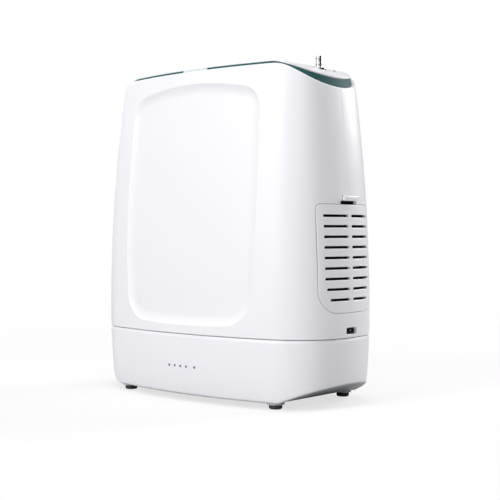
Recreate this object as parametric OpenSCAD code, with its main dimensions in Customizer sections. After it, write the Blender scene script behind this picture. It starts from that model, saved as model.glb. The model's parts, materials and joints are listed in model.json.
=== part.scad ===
/* [Housing shape] */
// Width of the housing and the battery, side to side
body_w = 218; // [208:1:226]
// Depth of the housing and the battery, front to back
body_d = 115; // [110:1:120]
// Radius of the front and the back, seen from above
front_r = 350; // [330:1:380]
// Radius of the two sides, seen from above
side_r = 83; // [78:1:90]
// Radius of the four corners, seen from above
corner_r = 40; // [36:1:43]
// Height at which the housing is widest
widest_z = 61; // [50:1:75]
// Radius of the inward bow of the walls above the widest height
top_bow_r = 1300; // [1150:10:2000]
// Radius of the inward bow of the walls below the widest height
low_bow_r = 530; // [400:10:900]
// Thickness of the housing walls
wall = 2.6; // [2.2:0.1:3.2]
// Height of the housing's top edge
edge_z = 237.4; // [234:0.2:242]
// Height of the housing's lower edge, just above the seam
seam_z = 48.4; // [47.6:0.2:49.4]

/* [Shoulders] */
// Distance from a side to where its shoulder starts
shoulder_w = 43; // [39:1:47]
// Radius at the start of the drop of the housing's edge
shoulder_r = 28; // [22:1:34]
// Steepness in degrees where that radius ends
shoulder_a = 32; // [28:1:35]
// Radius of the rest of the drop of the housing's edge
shoulder_far_r = 300; // [200:10:500]
// Radius at the start of the drop of the top panel
panel_drop_r = 12; // [8:1:16]
// Steepness in degrees where the top panel's first radius ends
panel_drop_a = 14; // [12:1:17]
// Radius of the rest of the drop of the top panel
panel_far_r = 100; // [90:1:120]

/* [Front panel recess] */
// Width of the recessed front panel
recess_w = 127; // [116:1:132]
// Height of the lower end of the recess
recess_low = 54.8; // [54:0.2:62]
// Height of the upper end of the recess
recess_top = 227; // [215:1:229]
// Depth of the recess
recess_depth = 1.3; // [0.8:0.1:1.5]
// Corner radius of the recess
recess_r = 13; // [8:1:16]
// Radius of the arched upper end of the recess
recess_arch_r = 250; // [200:10:400]

/* [Top trim] */
// Thickness of the green trim ring
trim_t = 2; // [1.6:0.1:2.4]
// Height by which the trim stands above the housing's edge
trim_rise = 1.2; // [0.8:0.1:1.8]
// Depth of the trim ring below its own top edge at the front
trim_h = 24.6; // [22:0.2:27]
// Length of the light bar in the front of the trim
light_w = 25; // [18:1:32]

/* [Top panel] */
// Thickness of the top panel's lip that lies on the trim
lip_t = 0.9; // [0.7:0.1:1.3]
// Thickness of the top panel inside the lip
panel_t = 2.5; // [2.2:0.1:3]
// Width of the display window, side to side
window_w = 54; // [46:1:58]
// Depth of the display window, front to back
window_d = 26; // [22:1:30]

/* [Buttons] */
// Radius of the power button
power_r = 7.5; // [6.5:0.1:8]
// Radius of the small buttons
key_r = 4.8; // [4:0.1:5.2]
// Travel of each button on the top
key_travel = 0.8; // [0.5:0.1:1]
// Height by which a button stands above the top panel
key_rise = 0.6; // [0.2:0.1:0.8]
// Gap round a moving button or tab
slip = 0.3; // [0.2:0.05:0.4]

/* [Oxygen outlet] */
// Distance from the right side to the middle of the outlet
outlet_in = 29; // [26:1:33]
// Radius of the outlet's barbs
barb_r = 2.6; // [2.4:0.1:3]
// Radius of the outlet between its barbs
neck_r = 1.8; // [1.6:0.1:2]
// Radius of the outlet's bore
outlet_bore_r = 1.1; // [0.8:0.1:1.3]
// Height of the outlet above its seat on the shoulder
outlet_h = 9.6; // [9:0.1:14]

/* [Vent covers] */
// Width of a vent cover, front to back
vent_w = 59; // [54:1:62]
// Height of a vent cover's lower edge
vent_low = 65.7; // [63:0.5:68]
// Height of a vent cover's upper edge
vent_top = 139.8; // [138:0.2:142]
// Radius of a vent cover's lower corners
vent_low_r = 15; // [12:1:18]
// Radius of a vent cover's upper corners
vent_top_r = 3.5; // [2:0.5:5]
// Thickness of a vent cover
vent_t = 2.4; // [2:0.1:2.8]
// Gap round a vent cover
vent_gap = 0.35; // [0.3:0.05:0.5]
// Number of slot rows
slot_rows = 9; // [6:1:9]
// Height from one slot row to the next
slot_pitch = 7.15; // [6.6:0.05:7.3]
// Height of a slot
slot_h = 1.8; // [1.6:0.1:3]
// Distance from the cover's middle to the outer end of a slot
slot_end = 24.6; // [20:0.2:25]
// Width of the bar between the two groups of slots
slot_bar = 3.6; // [2:0.2:5]

/* [Release tabs] */
// Width of a release tab
tab_w = 17; // [15:0.2:18]
// Height of a release tab
tab_h = 3.5; // [3:0.1:4]
// Height of the finger gap between a tab and the vent cover
tab_gap = 2.6; // [2:0.1:3]
// Distance a tab stands out of the side
tab_out = 2.4; // [1.8:0.1:2.8]
// Travel of a release tab, upwards
tab_travel = 2; // [1.2:0.1:2]

/* [Power inlet and battery release] */
// Width of the inlet's opening, and of the release button
port_w = 11.6; // [10:0.2:12]
// Height of the inlet's opening, and of the release button
port_h = 4.7; // [4.5:0.1:5]
// Height of the middle of the opening
port_z = 53; // [52.6:0.1:53.4]
// Depth of the inlet's face behind the wall's face
inlet_in = 2.2; // [0.8:0.1:2.4]
// Travel of the release button, inwards
release_travel = 2.5; // [1.5:0.1:3]

/* [Battery] */
// Height of the battery's flat underside
belly_z = 4.4; // [4:0.1:4.8]
// Distance from a side to where the underside starts to rise
belly_w = 29; // [25:1:31]
// Rise of the underside for each millimetre towards the side
belly_slope = 0.42; // [0.3:0.02:0.45]
// Thickness of the battery shell
shell_t = 2.4; // [2:0.1:2.8]
// Gap at the seam between the housing and the battery
seam_gap = 0.4; // [0.3:0.05:0.6]
// Height of the bevel along the battery's upper rim
rim_h = 2.2; // [1.6:0.1:3]
// Depth of the bevel along the battery's upper rim
rim_in = 0.8; // [0.4:0.1:1]
// Radius of a cell
cell_r = 9.15; // [9:0.05:9.25]
// Length of a cell
cell_l = 65; // [64:0.5:66]
// Radius of a light on the front of the battery
light_r = 0.8; // [0.6:0.1:1.1]
// Height of the row of lights
light_z = 24.9; // [20:0.1:30]
// Distance between neighbouring charge lights
light_pitch = 5.75; // [5:0.25:7]

/* [Feet] */
// Radius of a rubber foot
foot_r = 4.6; // [4:0.1:4.8]
// Height of the boss that a foot sits under
foot_boss_h = 1; // [0.8:0.1:1.2]
// Distance a boss stands out round its foot
foot_boss_rim = 1.6; // [1:0.1:1.6]
// Distance of a foot past the middle of the corner's curve, towards the side
foot_past = 4.9; // [0:0.1:6]
// Distance of a foot ahead of the middle of the corner's curve
foot_ahead = 28.5; // [24:0.1:29]

/* [Air system] */
// Depth that the two sieve columns leave free in each half of the housing
column_room = 21.5; // [21:0.5:25]
// Length of a sieve column
column_l = 132; // [110:1:134]
// Radius of the product tank
tank_r = 14; // [11:0.5:15]
// Radius of the air tubes
tube_r = 2.5; // [2:0.1:3]
// Side of the square cooling fan
fan_w = 58; // [50:1:58]
// Thickness of the cooling fan
fan_t = 14; // [10:1:14]

/* [Compressor] */
// Radius of the motor can
motor_r = 22; // [20:0.5:23]
// Radius of the crank shaft
shaft_r = 4; // [3:0.1:4.5]
// Radius of the counterweights on the crank shaft
weight_r = 12; // [9:0.5:13]
// Radial clearance of a running shaft
run_gap = 0.05; // [0.02:0.01:0.08]

/* [Hidden] */
$fn = 64;

white = "#F4F5F7";
accent_green = "#2F6661";
smoke = "#3A3D41";
charcoal = "#202225";
board_green = "#1E5B3A";
metal = "#B9BCC0";
light_grey = "#C9CCD0";
half_w = body_w / 2;
half_d = body_d / 2;
shoulder_x = half_w - shoulder_w;
belly_x = half_w - belly_w;
// A cut runs this far past the face that it goes through
over = 1;
// Clearance of pieces fixed to each other
fit = 0.15;
// Steps up a bowed wall above the widest height
bow_steps = 7;

// Centres of the front, side and corner curves of the right front quarter, seen from above
front_c = [0, front_r - half_d];
side_c = [half_w - side_r, 0];
front_reach = front_r - corner_r;
side_reach = side_r - corner_r;
centre_gap = norm(side_c - front_c);
reach_along = (pow(front_reach, 2) - pow(side_reach, 2) + pow(centre_gap, 2)) / (2 * centre_gap);
reach_across = sqrt(pow(front_reach, 2) - pow(reach_along, 2));
toward_side = (side_c - front_c) / centre_gap;
corner_c = front_c + reach_along * toward_side + reach_across * [-toward_side.y, toward_side.x];
front_a = atan2(corner_c.x, front_c.y - corner_c.y);
side_a = atan2(-corner_c.y, corner_c.x - side_c.x);

// How far the wall has bowed in at a height
function bow(z) = pow(z - widest_z, 2) / (2 * (z > widest_z ? top_bow_r : low_bow_r));

// Depth of the outer surface at a distance from the middle of the front
function face_y(x, z) = sqrt(pow(front_r - bow(z), 2) - x * x) - front_c.y;

// Half width of the outer surface at a distance from the middle of a side
function side_x(y, z) = y < (side_r - bow(z)) * sin(side_a)
    ? side_c.x + sqrt(pow(side_r - bow(z), 2) - y * y)
    : corner_c.x + sqrt(pow(corner_r - bow(z), 2) - pow(y + corner_c.y, 2));

// Points along an arc
function arc(c, r, from, to, n) = [for (i = [0:n]) c + r * [cos(from + (to - from) * i / n),
    sin(from + (to - from) * i / n)]];

// Outline seen from above, at a height, inside the outer surface by skin
function quarter(s) = concat(
    arc(side_c, side_r - s, 0, -side_a, 4),
    [for (i = [1:10]) arc(corner_c, corner_r - s, -side_a, front_a - 90, 10)[i]],
    [for (i = [1:6]) arc(front_c, front_r - s, front_a - 90, -90, 6)[i]]);
function around(q) = let (n = len(q)) concat(q,
    [for (i = [n - 2:-1:0]) [-q[i].x, q[i].y]],
    [for (i = [1:n - 1]) [-q[i].x, -q[i].y]],
    [for (i = [n - 2:-1:1]) [q[i].x, -q[i].y]]);
function plan(skin, z) = around(quarter(skin + bow(z)));

// Heights of the rings of a bowed wall, each with its depth inside the outer surface
function rings(low, high, skin) = let (start = low < widest_z && widest_z < high ? widest_z : low) concat(
    start > low ? [[low, skin]] : [],
    [for (i = [0:bow_steps]) [start + (high - start) * i / bow_steps, skin]]);

// Solid with the housing's outline at every height
module barrel(levels) {
    outlines = [for (level = levels) plan(level[1], level[0])];
    n = len(outlines[0]);
    last = len(levels) - 1;
    polyhedron([for (i = [0:last]) for (p = outlines[i]) [p.x, p.y, levels[i][0]]], concat(
        [[for (k = [n - 1:-1:0]) k]],
        [[for (k = [0:n - 1]) last * n + k]],
        [for (i = [0:last - 1]) for (k = [0:n - 1]) [i * n + k, i * n + (k + 1) % n,
            (i + 1) * n + (k + 1) % n, (i + 1) * n + k]]), 4);
}

// Bowed wall all round, from a skin depth inwards
module bowed_wall(low, high, skin, thick) {
    difference() {
        barrel(rings(low, high, skin));
        barrel(rings(low - over, high + over, skin + thick));
    }
}

// Slice of the housing's outline with straight sides, for what is thin
module plate(skin, z, thick) {
    translate([0, 0, z]) linear_extrude(thick) polygon(plan(skin, z));
}

// Drop of a shoulder at a distance from the middle: flat, a small radius, then a large one
function drop(x, near_r, turn, far_r) = let (run = x - shoulder_x, near = near_r * sin(turn))
    run < 0 ? 0
    : run < near ? near_r - sqrt(near_r * near_r - run * run)
    : near_r * (1 - cos(turn)) + far_r * (cos(turn) - cos(asin(sin(turn) + (run - near) / far_r)));
function edge_top(x, z) = z - drop(x, shoulder_r, shoulder_a, shoulder_far_r);
function panel_top(x, z) = z - drop(x, panel_drop_r, panel_drop_a, panel_far_r);

// Places along a shoulder at which its curve has a point
function shoulder_places(near) = concat([for (i = [0:3]) shoulder_x + near * i / 3],
    [for (i = [1:6]) shoulder_x + near + (half_w + over - shoulder_x - near) * i / 6]);
function mirrored(half) = concat([for (i = [len(half) - 1:-1:0]) [-half[i].x, half[i].y]], half);
function edge_curve(z) = mirrored([for (x = shoulder_places(shoulder_r * sin(shoulder_a)))
    [x, edge_top(x, z)]]);
function panel_curve(z) = mirrored([for (x = shoulder_places(panel_drop_r * sin(panel_drop_a)))
    [x, panel_top(x, z)]]);
function belly_curve(z) = mirrored([[belly_x, z],
    [half_w + over, z + belly_slope * (half_w + over - belly_x)]]);

// What lies between two curves drawn across the front, through the whole depth
module between(upper, lower) {
    translate([0, half_d + over, 0]) rotate([90, 0, 0]) linear_extrude(body_d + 2 * over)
        polygon(concat(upper, [for (i = [len(lower) - 1:-1:0]) lower[i]]));
}
function level_curve(z) = [[-half_w - over, z], [half_w + over, z]];

// Outline drawn on the side of the housing, pushed through it from one distance to another
module through_side(from, to) {
    rotate([90, 0, 90]) translate([0, 0, from]) linear_extrude(to - from) children();
}

// Box from its low corner to its high corner
module box(low, high) {
    translate(low) cube(high - low);
}

// Round bar along an axis
module rod_x(from, r, length) {
    translate(from) rotate([0, 90, 0]) cylinder(r = r, h = length);
}
module rod_y(from, r, length) {
    translate(from) rotate([-90, 0, 0]) cylinder(r = r, h = length);
}
module rod_z(from, r, length) {
    translate(from) cylinder(r = r, h = length);
}

// Rectangle with its lower and its upper corners rounded
function rounded(half, low, high, low_r, high_r) = concat(
    arc([half - high_r, high - high_r], high_r, 0, 90, 6),
    arc([high_r - half, high - high_r], high_r, 90, 180, 6),
    arc([low_r - half, low + low_r], low_r, 180, 270, 8),
    arc([half - low_r, low + low_r], low_r, 270, 360, 8));

// Heights of the top and of what lies under it
panel_z = edge_z + trim_rise + lip_t;
trim_top = panel_z - lip_t;
panel_under = panel_z - panel_t;
trim_skin = wall + fit;
trim_low = trim_top - trim_h;
board_t = 1.6;
display_board_z = panel_under - 4.5;
display_board_top = display_board_z + board_t;
window_t = 1.5;
flange_t = 1;

// Window and buttons on the top, at shares of the half width
window_x = -0.22 * half_w;
flow_x = 0.147 * half_w;
power_at = [0.349 * half_w, 0];
flow_up_at = [flow_x, 9];
flow_down_at = [flow_x, -9];
mute_at = [0.523 * half_w, 0];

// Oxygen outlet
outlet_x = half_w - outlet_in;
outlet_seat = panel_top(outlet_x, panel_z) - 0.7;
outlet_flange_r = 5;
outlet_thread_r = 3.9;
outlet_boss_r = 7;
outlet_boss_z = panel_top(outlet_x + outlet_boss_r, panel_under) - 0.6;
nut_t = 2.6;
outlet_end = outlet_boss_z - nut_t - 2.5;
lens_at = [outlet_x + 2, 15];
lens_r = 1.2;

// Board under the top panel
display_board_from = -0.55 * half_w;
display_board_to = 0.606 * half_w;
display_board_half = 20;

// Housing floor
chassis_z = seam_z + 0.2;
chassis_t = 2.4;
chassis_top = chassis_z + chassis_t;
boss_r = 4.2;
boss_h = 13;
screw_r = 1.5;
screw_head_r = 3;
screw_head_t = 1.6;
screw_reach = corner_r - wall - boss_r + 0.5;
screw_at = [corner_c.x + screw_reach * cos(45), corner_c.y - screw_reach * sin(45)];

// Frames behind the two vent covers
frame_w = 60;
frame_low = 66;
frame_top = 147;
frame_t = 8;
frame_front = side_x(frame_w / 2, frame_top) - wall - 0.5;
frame_back = frame_front - frame_t;
filter_w = 45;
filter_low = vent_low + 5.3;
filter_top = vent_top - 6.8;
peg_r = 1.8;
peg_y = 25.5;
peg_end = frame_front - 3.2;
first_slot_z = vent_top - 7.8;
peg_z = [first_slot_z - 0.5 * slot_pitch, first_slot_z - 6.5 * slot_pitch];
slot_curve_r = 40;
slot_curve_z = vent_low + 26.6;

// Release tabs above the covers
tab_low = vent_top + tab_gap;
tab_top = tab_low + tab_h;
neck_t = tab_h - tab_travel - slip;
neck_w = tab_w - 3;
carrier_w = tab_w + 4;
carrier_t = 1.6;
carrier_top = tab_low + 5.8;
carrier_face = side_x(carrier_w / 2, carrier_top + tab_travel) - wall - slip;
tab_face = side_x(0, tab_low);

// Battery
foot_x = corner_c.x + foot_past;
foot_y = foot_ahead - corner_c.y;
battery_top = seam_z - seam_gap;
base_z = belly_z + 0.8;
foot_top = belly_z - fit - foot_boss_h;
base_t = 1.8;
base_top = base_z + base_t;
holder_low = base_top + 0.2;
cell_gap = 0.6;
cell_margin = 0.8;
cell_z = [holder_low + cell_margin + cell_r, holder_low + cell_margin + 3 * cell_r + cell_gap];
holder_high = cell_z[1] + cell_r + cell_margin;
lid_z = holder_high + 0.2;
lid_top = battery_top - 0.1;
cell_pitch = 2 * cell_r + cell_gap;
cell_start = 1.5;
holder_half = 2 * cell_pitch + cell_margin;
post_r = 4;
post_x = 0.46 * half_w;
plug_x = frame_back - 7.2;
plug_low = [plug_x - 3, -13];
plug_high = [plug_x + 3, 13];
plug_top = chassis_top + 5;
plug_gap = 0.4;
light_x = [for (i = [0:3]) light_pitch * (i - 2.3), light_pitch * 2.1];
foot_peg_r = 2;

// Power inlet and battery release
port_face = side_x(0, port_z);
port_back = port_face - 14;
port_flange = 2.4;
notch_w = port_w + 2 * port_flange + 0.8;
release_rise = 0.5;
tongue_w = 8;
tongue_t = 2;
catch_h = 2.7;

// Fan
fan_back = frame_back - fan_t;
fan_z = (filter_low + filter_top) / 2;
fan_bore = fan_w / 2 - 3;
fan_r = fan_bore - 1;
hub_r = 10;
pin_r = 1.5;

// Air system
frame_half = half_d - 19.5;
column_r = (half_d - column_room) / 2;
cap_r = column_r + 1.2;
coil_x = -(frame_back - tube_r - 0.3);
column_x = coil_x + tube_r + 5.5 + cap_r;
column_y = cap_r + 1.8;
cap_t = 6;
cap_lap = 3;
column_low = chassis_top + cap_t - cap_lap;
column_high = column_low + column_l;
manifold_z = column_high + cap_t - cap_lap + fit;
manifold_t = 14;
manifold_half = frame_half - 2;
partition_x = column_x + cap_r + 0.3;
partition_t = 3;
shelf_z = 150;
shelf_top = shelf_z + 3;
tank_at = [fan_back - tank_r - 8.2, 22];
tank_top = 140;
muffler_at = [tank_at.x, -tank_at.y];
muffler_r = 12;
muffler_top = 120;
coil_half = 24;
coil_low = 76;
coil_pitch = 12.8;
head_tube_z = 140;
branch_tube_z = shelf_top + 7;
sensor_x = partition_x + partition_t + 19.5;
conserver_x = outlet_x - 30;
conserver_top = shelf_top + 18;
outlet_filter_r = 7;
outlet_filter_low = outlet_end - 21;

// Main board on the shelf
board_y = frame_half - 2;
board_top_z = trim_top - 16.6;
board_from = partition_x + partition_t + 7.7;
board_to = conserver_x + 8;

// Compressor, midway between the partition and the tank
compressor_x = (partition_x + partition_t + tank_at.x - tank_r) / 2;
mount_t = 5;
mount_r = 5;
base_plate_t = 3;
sled_z = chassis_top + mount_t;
sled_top = sled_z + base_plate_t;
shaft_z = sled_top + motor_r + 0.3;
motor_half = 17;
case_near = motor_half + 0.3;
case_far = half_d - 14.5;
case_half = 20;
case_top = shaft_z + 21;
bearing_t = 3.7;
cavity_r = weight_r + 1.5;
head_y = (case_near + case_far) / 2;
head_r = 13;
head_top = case_top + 26;

module vent_outline(grow) {
    polygon(rounded(vent_w / 2 + grow, vent_low - grow, vent_top + grow,
        vent_low_r + grow, vent_top_r + grow));
}

module tab_openings() {
    translate([-(tab_w + 1.2) / 2, vent_top]) square([tab_w + 1.2, tab_gap]);
    translate([-(neck_w + 2 * slip) / 2, vent_top]) square([neck_w + 2 * slip, tab_gap + tab_h - 0.05]);
}

module port_outline(shrink) {
    polygon(rounded(port_w / 2 - shrink, port_z - port_h / 2 + shrink, port_z + port_h / 2 - shrink,
        1.4 - shrink, 1.4 - shrink));
}

// Half of the housing, drawn for the front
module half_shell() {
    difference() {
        union() {
            intersection() {
                bowed_wall(seam_z, edge_z + over, 0, wall);
                box([-half_w - over, -half_d - over, 0], [half_w + over, -fit / 2, edge_z + 2 * over]);
            }
            for (side = [-1, 1])
                rod_z([side * screw_at.x, screw_at.y, chassis_top], boss_r, boss_h);
        }
        between(level_curve(edge_z + 3 * over), edge_curve(edge_z));
        for (side = [-1, 1]) {
            rod_z([side * screw_at.x, screw_at.y, chassis_top - over], screw_r + 0.1, boss_h);
            mirror([side < 0 ? 1 : 0, 0, 0]) through_side(frame_back, half_w + over) {
                vent_outline(vent_gap);
                tab_openings();
                port_outline(0);
            }
        }
    }
}

function recess_arch(x) = recess_top - recess_arch_r + sqrt(recess_arch_r * recess_arch_r - x * x);
function recess_points() = let (half = recess_w / 2, reach = half - recess_r) concat(
    [for (i = [-5:5]) [-reach * i / 5, recess_arch(reach * i / 5)]],
    [for (i = [1:5]) [-reach - recess_r * sin(90 * i / 6),
        recess_arch(reach) - recess_r * (1 - cos(90 * i / 6))]],
    arc([-reach, recess_low + recess_r], recess_r, 180, 270, 6),
    arc([reach, recess_low + recess_r], recess_r, 270, 360, 6),
    [for (i = [5:-1:1]) [reach + recess_r * sin(90 * i / 6),
        recess_arch(reach) - recess_r * (1 - cos(90 * i / 6))]]);

module front_shell() {
    color(white) difference() {
        half_shell();
        difference() {
            rotate([90, 0, 0]) linear_extrude(half_d + over) polygon(recess_points());
            barrel(rings(seam_z - over, edge_z + over, recess_depth));
        }
    }
}

module rear_shell() {
    color(white) mirror([0, 1, 0]) half_shell();
}

module accent_trim() {
    color(accent_green) difference() {
        intersection() {
            difference() {
                barrel([[trim_low, trim_skin], [trim_top, trim_skin]]);
                barrel([[trim_low - over, trim_skin + trim_t], [trim_top + over, trim_skin + trim_t]]);
            }
            between(panel_curve(trim_top), level_curve(trim_low - over));
        }
        box([-light_w / 2 - fit, -half_d, trim_top - 4 - fit], [light_w / 2 + fit, 0, trim_top + over]);
    }
}

module status_light() {
    color("#DDE6E8") intersection() {
        difference() {
            barrel([[trim_low, trim_skin], [trim_top, trim_skin]]);
            barrel([[trim_low - over, trim_skin + trim_t], [trim_top + over, trim_skin + trim_t]]);
        }
        box([-light_w / 2, -half_d, trim_top - 4], [light_w / 2, 0, trim_top]);
    }
}

module top_panel() {
    low = panel_top(half_w, panel_under) - over;
    color(white) difference() {
        union() {
            intersection() {
                barrel([[low, trim_skin], [panel_z + over, trim_skin]]);
                between(panel_curve(panel_z), panel_curve(trim_top));
            }
            intersection() {
                barrel([[low, trim_skin + trim_t + fit], [panel_z + over, trim_skin + trim_t + fit]]);
                between(panel_curve(panel_z - lip_t / 2), panel_curve(panel_under));
            }
            for (side = [-1, 1], x = [display_board_from + 2, display_board_to - 3])
                rod_z([x, side * (display_board_half - 3), display_board_top], 2.5,
                    panel_z - lip_t - display_board_top);
            rod_z([outlet_x, 0, outlet_boss_z], outlet_boss_r, outlet_seat - 1.5 - outlet_boss_z);
            rod_z([outlet_x, 0, outlet_boss_z], outlet_flange_r + 0.3, outlet_seat - outlet_boss_z);
        }
        box([window_x - window_w / 2 - fit, -window_d / 2 - fit, panel_under - over],
            [window_x + window_w / 2 + fit, window_d / 2 + fit, panel_z + over]);
        key_hole(power_at, power_r);
        key_hole(flow_up_at, key_r);
        key_hole(flow_down_at, key_r);
        key_hole(mute_at, key_r);
        rod_z([outlet_x, 0, outlet_seat], outlet_flange_r + 0.3, outlet_h);
        rod_z([outlet_x, 0, outlet_boss_z - over], outlet_thread_r + 0.1, outlet_h);
        rod_z([lens_at.x, lens_at.y, low], lens_r + 0.1, panel_z - low);
    }
}

module key_hole(at, r) {
    rod_z([at.x, at.y, panel_under - over], r + slip, panel_t + 2 * over);
}

module display_window() {
    color("#101418") box([window_x - window_w / 2, -window_d / 2, panel_z - window_t],
        [window_x + window_w / 2, window_d / 2, panel_z]);
}

module display_board() {
    color(board_green) box([display_board_from, -display_board_half, display_board_z],
        [display_board_to, display_board_half, display_board_top]);
    color(smoke) box([window_x - window_w / 2 + 1, -window_d / 2 + 1, display_board_top],
        [window_x + window_w / 2 - 1, window_d / 2 - 1, panel_z - window_t]);
}

module keypad_switches() {
    top = panel_under - 0.4 - flange_t - key_travel - 0.1;
    color(charcoal) for (at = [power_at, flow_up_at, flow_down_at, mute_at])
        box([at.x - 3, at.y - 3, display_board_top], [at.x + 3, at.y + 3, top]);
}

// Round button with a flange that keeps it under the top panel
module key(at, r) {
    rod_z([at.x, at.y, panel_under - 0.4 - flange_t], r, panel_t + 0.4 + flange_t + key_rise);
    rod_z([at.x, at.y, panel_under - 0.4 - flange_t], r + 1, flange_t);
}
module power_button() {
    color(accent_green) key(power_at, power_r);
}
module flow_up_button() {
    color(light_grey) key(flow_up_at, key_r);
}
module flow_down_button() {
    color(light_grey) key(flow_down_at, key_r);
}
module mute_button() {
    color(light_grey) key(mute_at, key_r);
}

module indicator_lens() {
    color("#B5524A")
        rod_z([lens_at.x, lens_at.y, panel_top(lens_at.x, panel_under) - 1], lens_r, panel_t + 1.4);
}

module oxygen_outlet() {
    barb = 2.1;
    neck = (outlet_h - 1.2 - 2 * barb) / 2;
    z = outlet_seat + 1.2;
    color(metal) translate([outlet_x, 0, 0]) rotate_extrude() polygon([
        [outlet_bore_r, outlet_end], [outlet_thread_r, outlet_end], [outlet_thread_r, outlet_seat],
        [outlet_flange_r, outlet_seat], [outlet_flange_r, z - 0.4], [outlet_flange_r - 0.4, z],
        [neck_r, z], [neck_r, z + neck], [barb_r, z + neck], [barb_r, z + neck + barb - 0.6],
        [barb_r - 0.5, z + neck + barb], [neck_r, z + neck + barb], [neck_r, z + 2 * neck + barb],
        [barb_r, z + 2 * neck + barb], [barb_r, outlet_seat + outlet_h - 0.6],
        [barb_r - 0.5, outlet_seat + outlet_h], [outlet_bore_r, outlet_seat + outlet_h]]);
}

module outlet_nut() {
    color(metal) difference() {
        rod_z([outlet_x, 0, outlet_boss_z - nut_t], outlet_boss_r - 0.5, nut_t);
        rod_z([outlet_x, 0, outlet_boss_z - nut_t - over], outlet_thread_r + 0.1, nut_t + 2 * over);
    }
}

module plug_hole(z, high) {
    box([plug_low.x - plug_gap, plug_low.y - plug_gap, z],
        [plug_high.x + plug_gap, plug_high.y + plug_gap, high]);
}

module chassis_plate() {
    color(smoke) difference() {
        plate(wall + 0.3, chassis_z, chassis_t);
        for (x = [-screw_at.x, screw_at.x], y = [-screw_at.y, screw_at.y]) {
            rod_z([x, y, chassis_z - over], screw_r + 0.1, chassis_t + 2 * over);
            rod_z([x, y, chassis_z - over], screw_head_r + 0.2, screw_head_t + 0.2 + over);
        }
        for (side = [-1, 1]) {
            rod_z([side * post_x, 0, chassis_z - over], post_r + plug_gap, chassis_t + 2 * over);
            mirror([side < 0 ? 1 : 0, 0, 0])
                box([port_back - release_travel - plug_gap, -notch_w / 2, chassis_z - over],
                    [half_w, notch_w / 2, chassis_top + over]);
        }
        plug_hole(chassis_z - over, chassis_top + over);
    }
}

module housing_screws() {
    color(metal) for (x = [-screw_at.x, screw_at.x], y = [-screw_at.y, screw_at.y]) {
        rod_z([x, y, chassis_z + 0.1], screw_head_r, screw_head_t);
        rod_z([x, y, chassis_z + 0.1], screw_r, boss_h - 1);
    }
}

// Frame behind a vent cover, drawn for the right side
module side_frame() {
    leg = 26;
    difference() {
        union() {
            box([frame_back, -frame_w / 2, frame_low], [frame_front, frame_w / 2, frame_top]);
            box([frame_back, -leg, chassis_top], [frame_front, leg, frame_low]);
        }
        box([frame_back - over, -notch_w / 2 - 2, chassis_top - over],
            [frame_front + over, notch_w / 2 + 2, port_z + 6]);
        box([frame_back - over, -filter_w / 2, filter_low],
            [frame_front + over, filter_w / 2, filter_top]);
        for (side = [-1, 1], z = peg_z)
            rod_x([peg_end - 0.6, side * peg_y, z], peg_r + 0.25, frame_t);
    }
}

module filter_frame() {
    color(smoke) side_frame();
}

module exhaust_frame() {
    bar = 2;
    color(smoke) mirror([1, 0, 0]) {
        side_frame();
        for (i = [1:5])
            box([frame_back, -filter_w / 2, filter_low + (filter_top - filter_low) * i / 6 - bar / 2],
                [frame_back + bar, filter_w / 2, filter_low + (filter_top - filter_low) * i / 6 + bar / 2]);
    }
}

module intake_filter() {
    color("#2B2D30") box([frame_back, -filter_w / 2 + fit, filter_low + fit],
        [frame_front - 1, filter_w / 2 - fit, filter_top - fit]);
}

// Louvred cover that stands in the side wall, drawn for the right side
module vent_cover() {
    difference() {
        union() {
            intersection() {
                bowed_wall(vent_low - over, vent_top + over, 0, vent_t);
                through_side(frame_back, half_w + over) vent_outline(0);
            }
            for (side = [-1, 1], z = peg_z)
                rod_x([peg_end, side * peg_y, z], peg_r, side_x(peg_y, z) - vent_t / 2 - peg_end);
        }
        for (row = [0:slot_rows - 1]) {
            z = first_slot_z - row * slot_pitch;
            fall = max(0, slot_curve_z - z);
            end = slot_end - slot_curve_r + sqrt(slot_curve_r * slot_curve_r - fall * fall);
            for (side = [-1, 1])
                translate([0, side * (slot_bar / 2 + end) / 2, z])
                    cube([4 * half_w, end - slot_bar / 2, slot_h], center = true);
        }
    }
}

module intake_cover() {
    color(white) vent_cover();
}

module exhaust_cover() {
    color(white) mirror([1, 0, 0]) vent_cover();
}

// Tab that is lifted to free a vent cover, drawn for the right side
module release_tab() {
    box([tab_face + slip, -tab_w / 2, tab_low], [tab_face + tab_out, tab_w / 2, tab_top]);
    box([carrier_face - carrier_t, -neck_w / 2, tab_low],
        [tab_face + tab_out, neck_w / 2, tab_low + neck_t]);
    box([carrier_face - carrier_t, -carrier_w / 2, tab_low],
        [carrier_face, carrier_w / 2, carrier_top]);
}

module intake_tab() {
    color(white) release_tab();
}

module exhaust_tab() {
    color(white) mirror([1, 0, 0]) release_tab();
}

module power_inlet() {
    color(charcoal) difference() {
        union() {
            through_side(port_back, port_face - inlet_in) port_outline(fit);
            box([port_back, -port_w / 2 - port_flange, port_z - port_h / 2 + fit],
                [port_face - wall - 1, port_w / 2 + port_flange, port_z + port_h / 2 + 2]);
        }
        through_side(port_back + 4, port_face) port_outline(fit + 0.9);
    }
}

module inlet_contacts() {
    color(metal) for (side = [-1, 1])
        box([port_back + 4, side * 2.2 - 0.8, port_z - 0.4], [port_face - 3, side * 2.2 + 0.8, port_z + 0.4]);
}

module release_button() {
    low = port_z - port_h / 2 + slip;
    color(light_grey) mirror([1, 0, 0]) {
        through_side(port_back, port_face + release_rise) port_outline(slip);
        box([port_back, -port_w / 2 - port_flange, low],
            [side_x(port_w / 2 + port_flange, port_z) - wall - slip, port_w / 2 + port_flange,
                port_z + port_h / 2 + 2]);
        box([port_back, -tongue_w / 2, lid_top + slip], [port_back + tongue_t, tongue_w / 2, low + 1]);
    }
}

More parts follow.
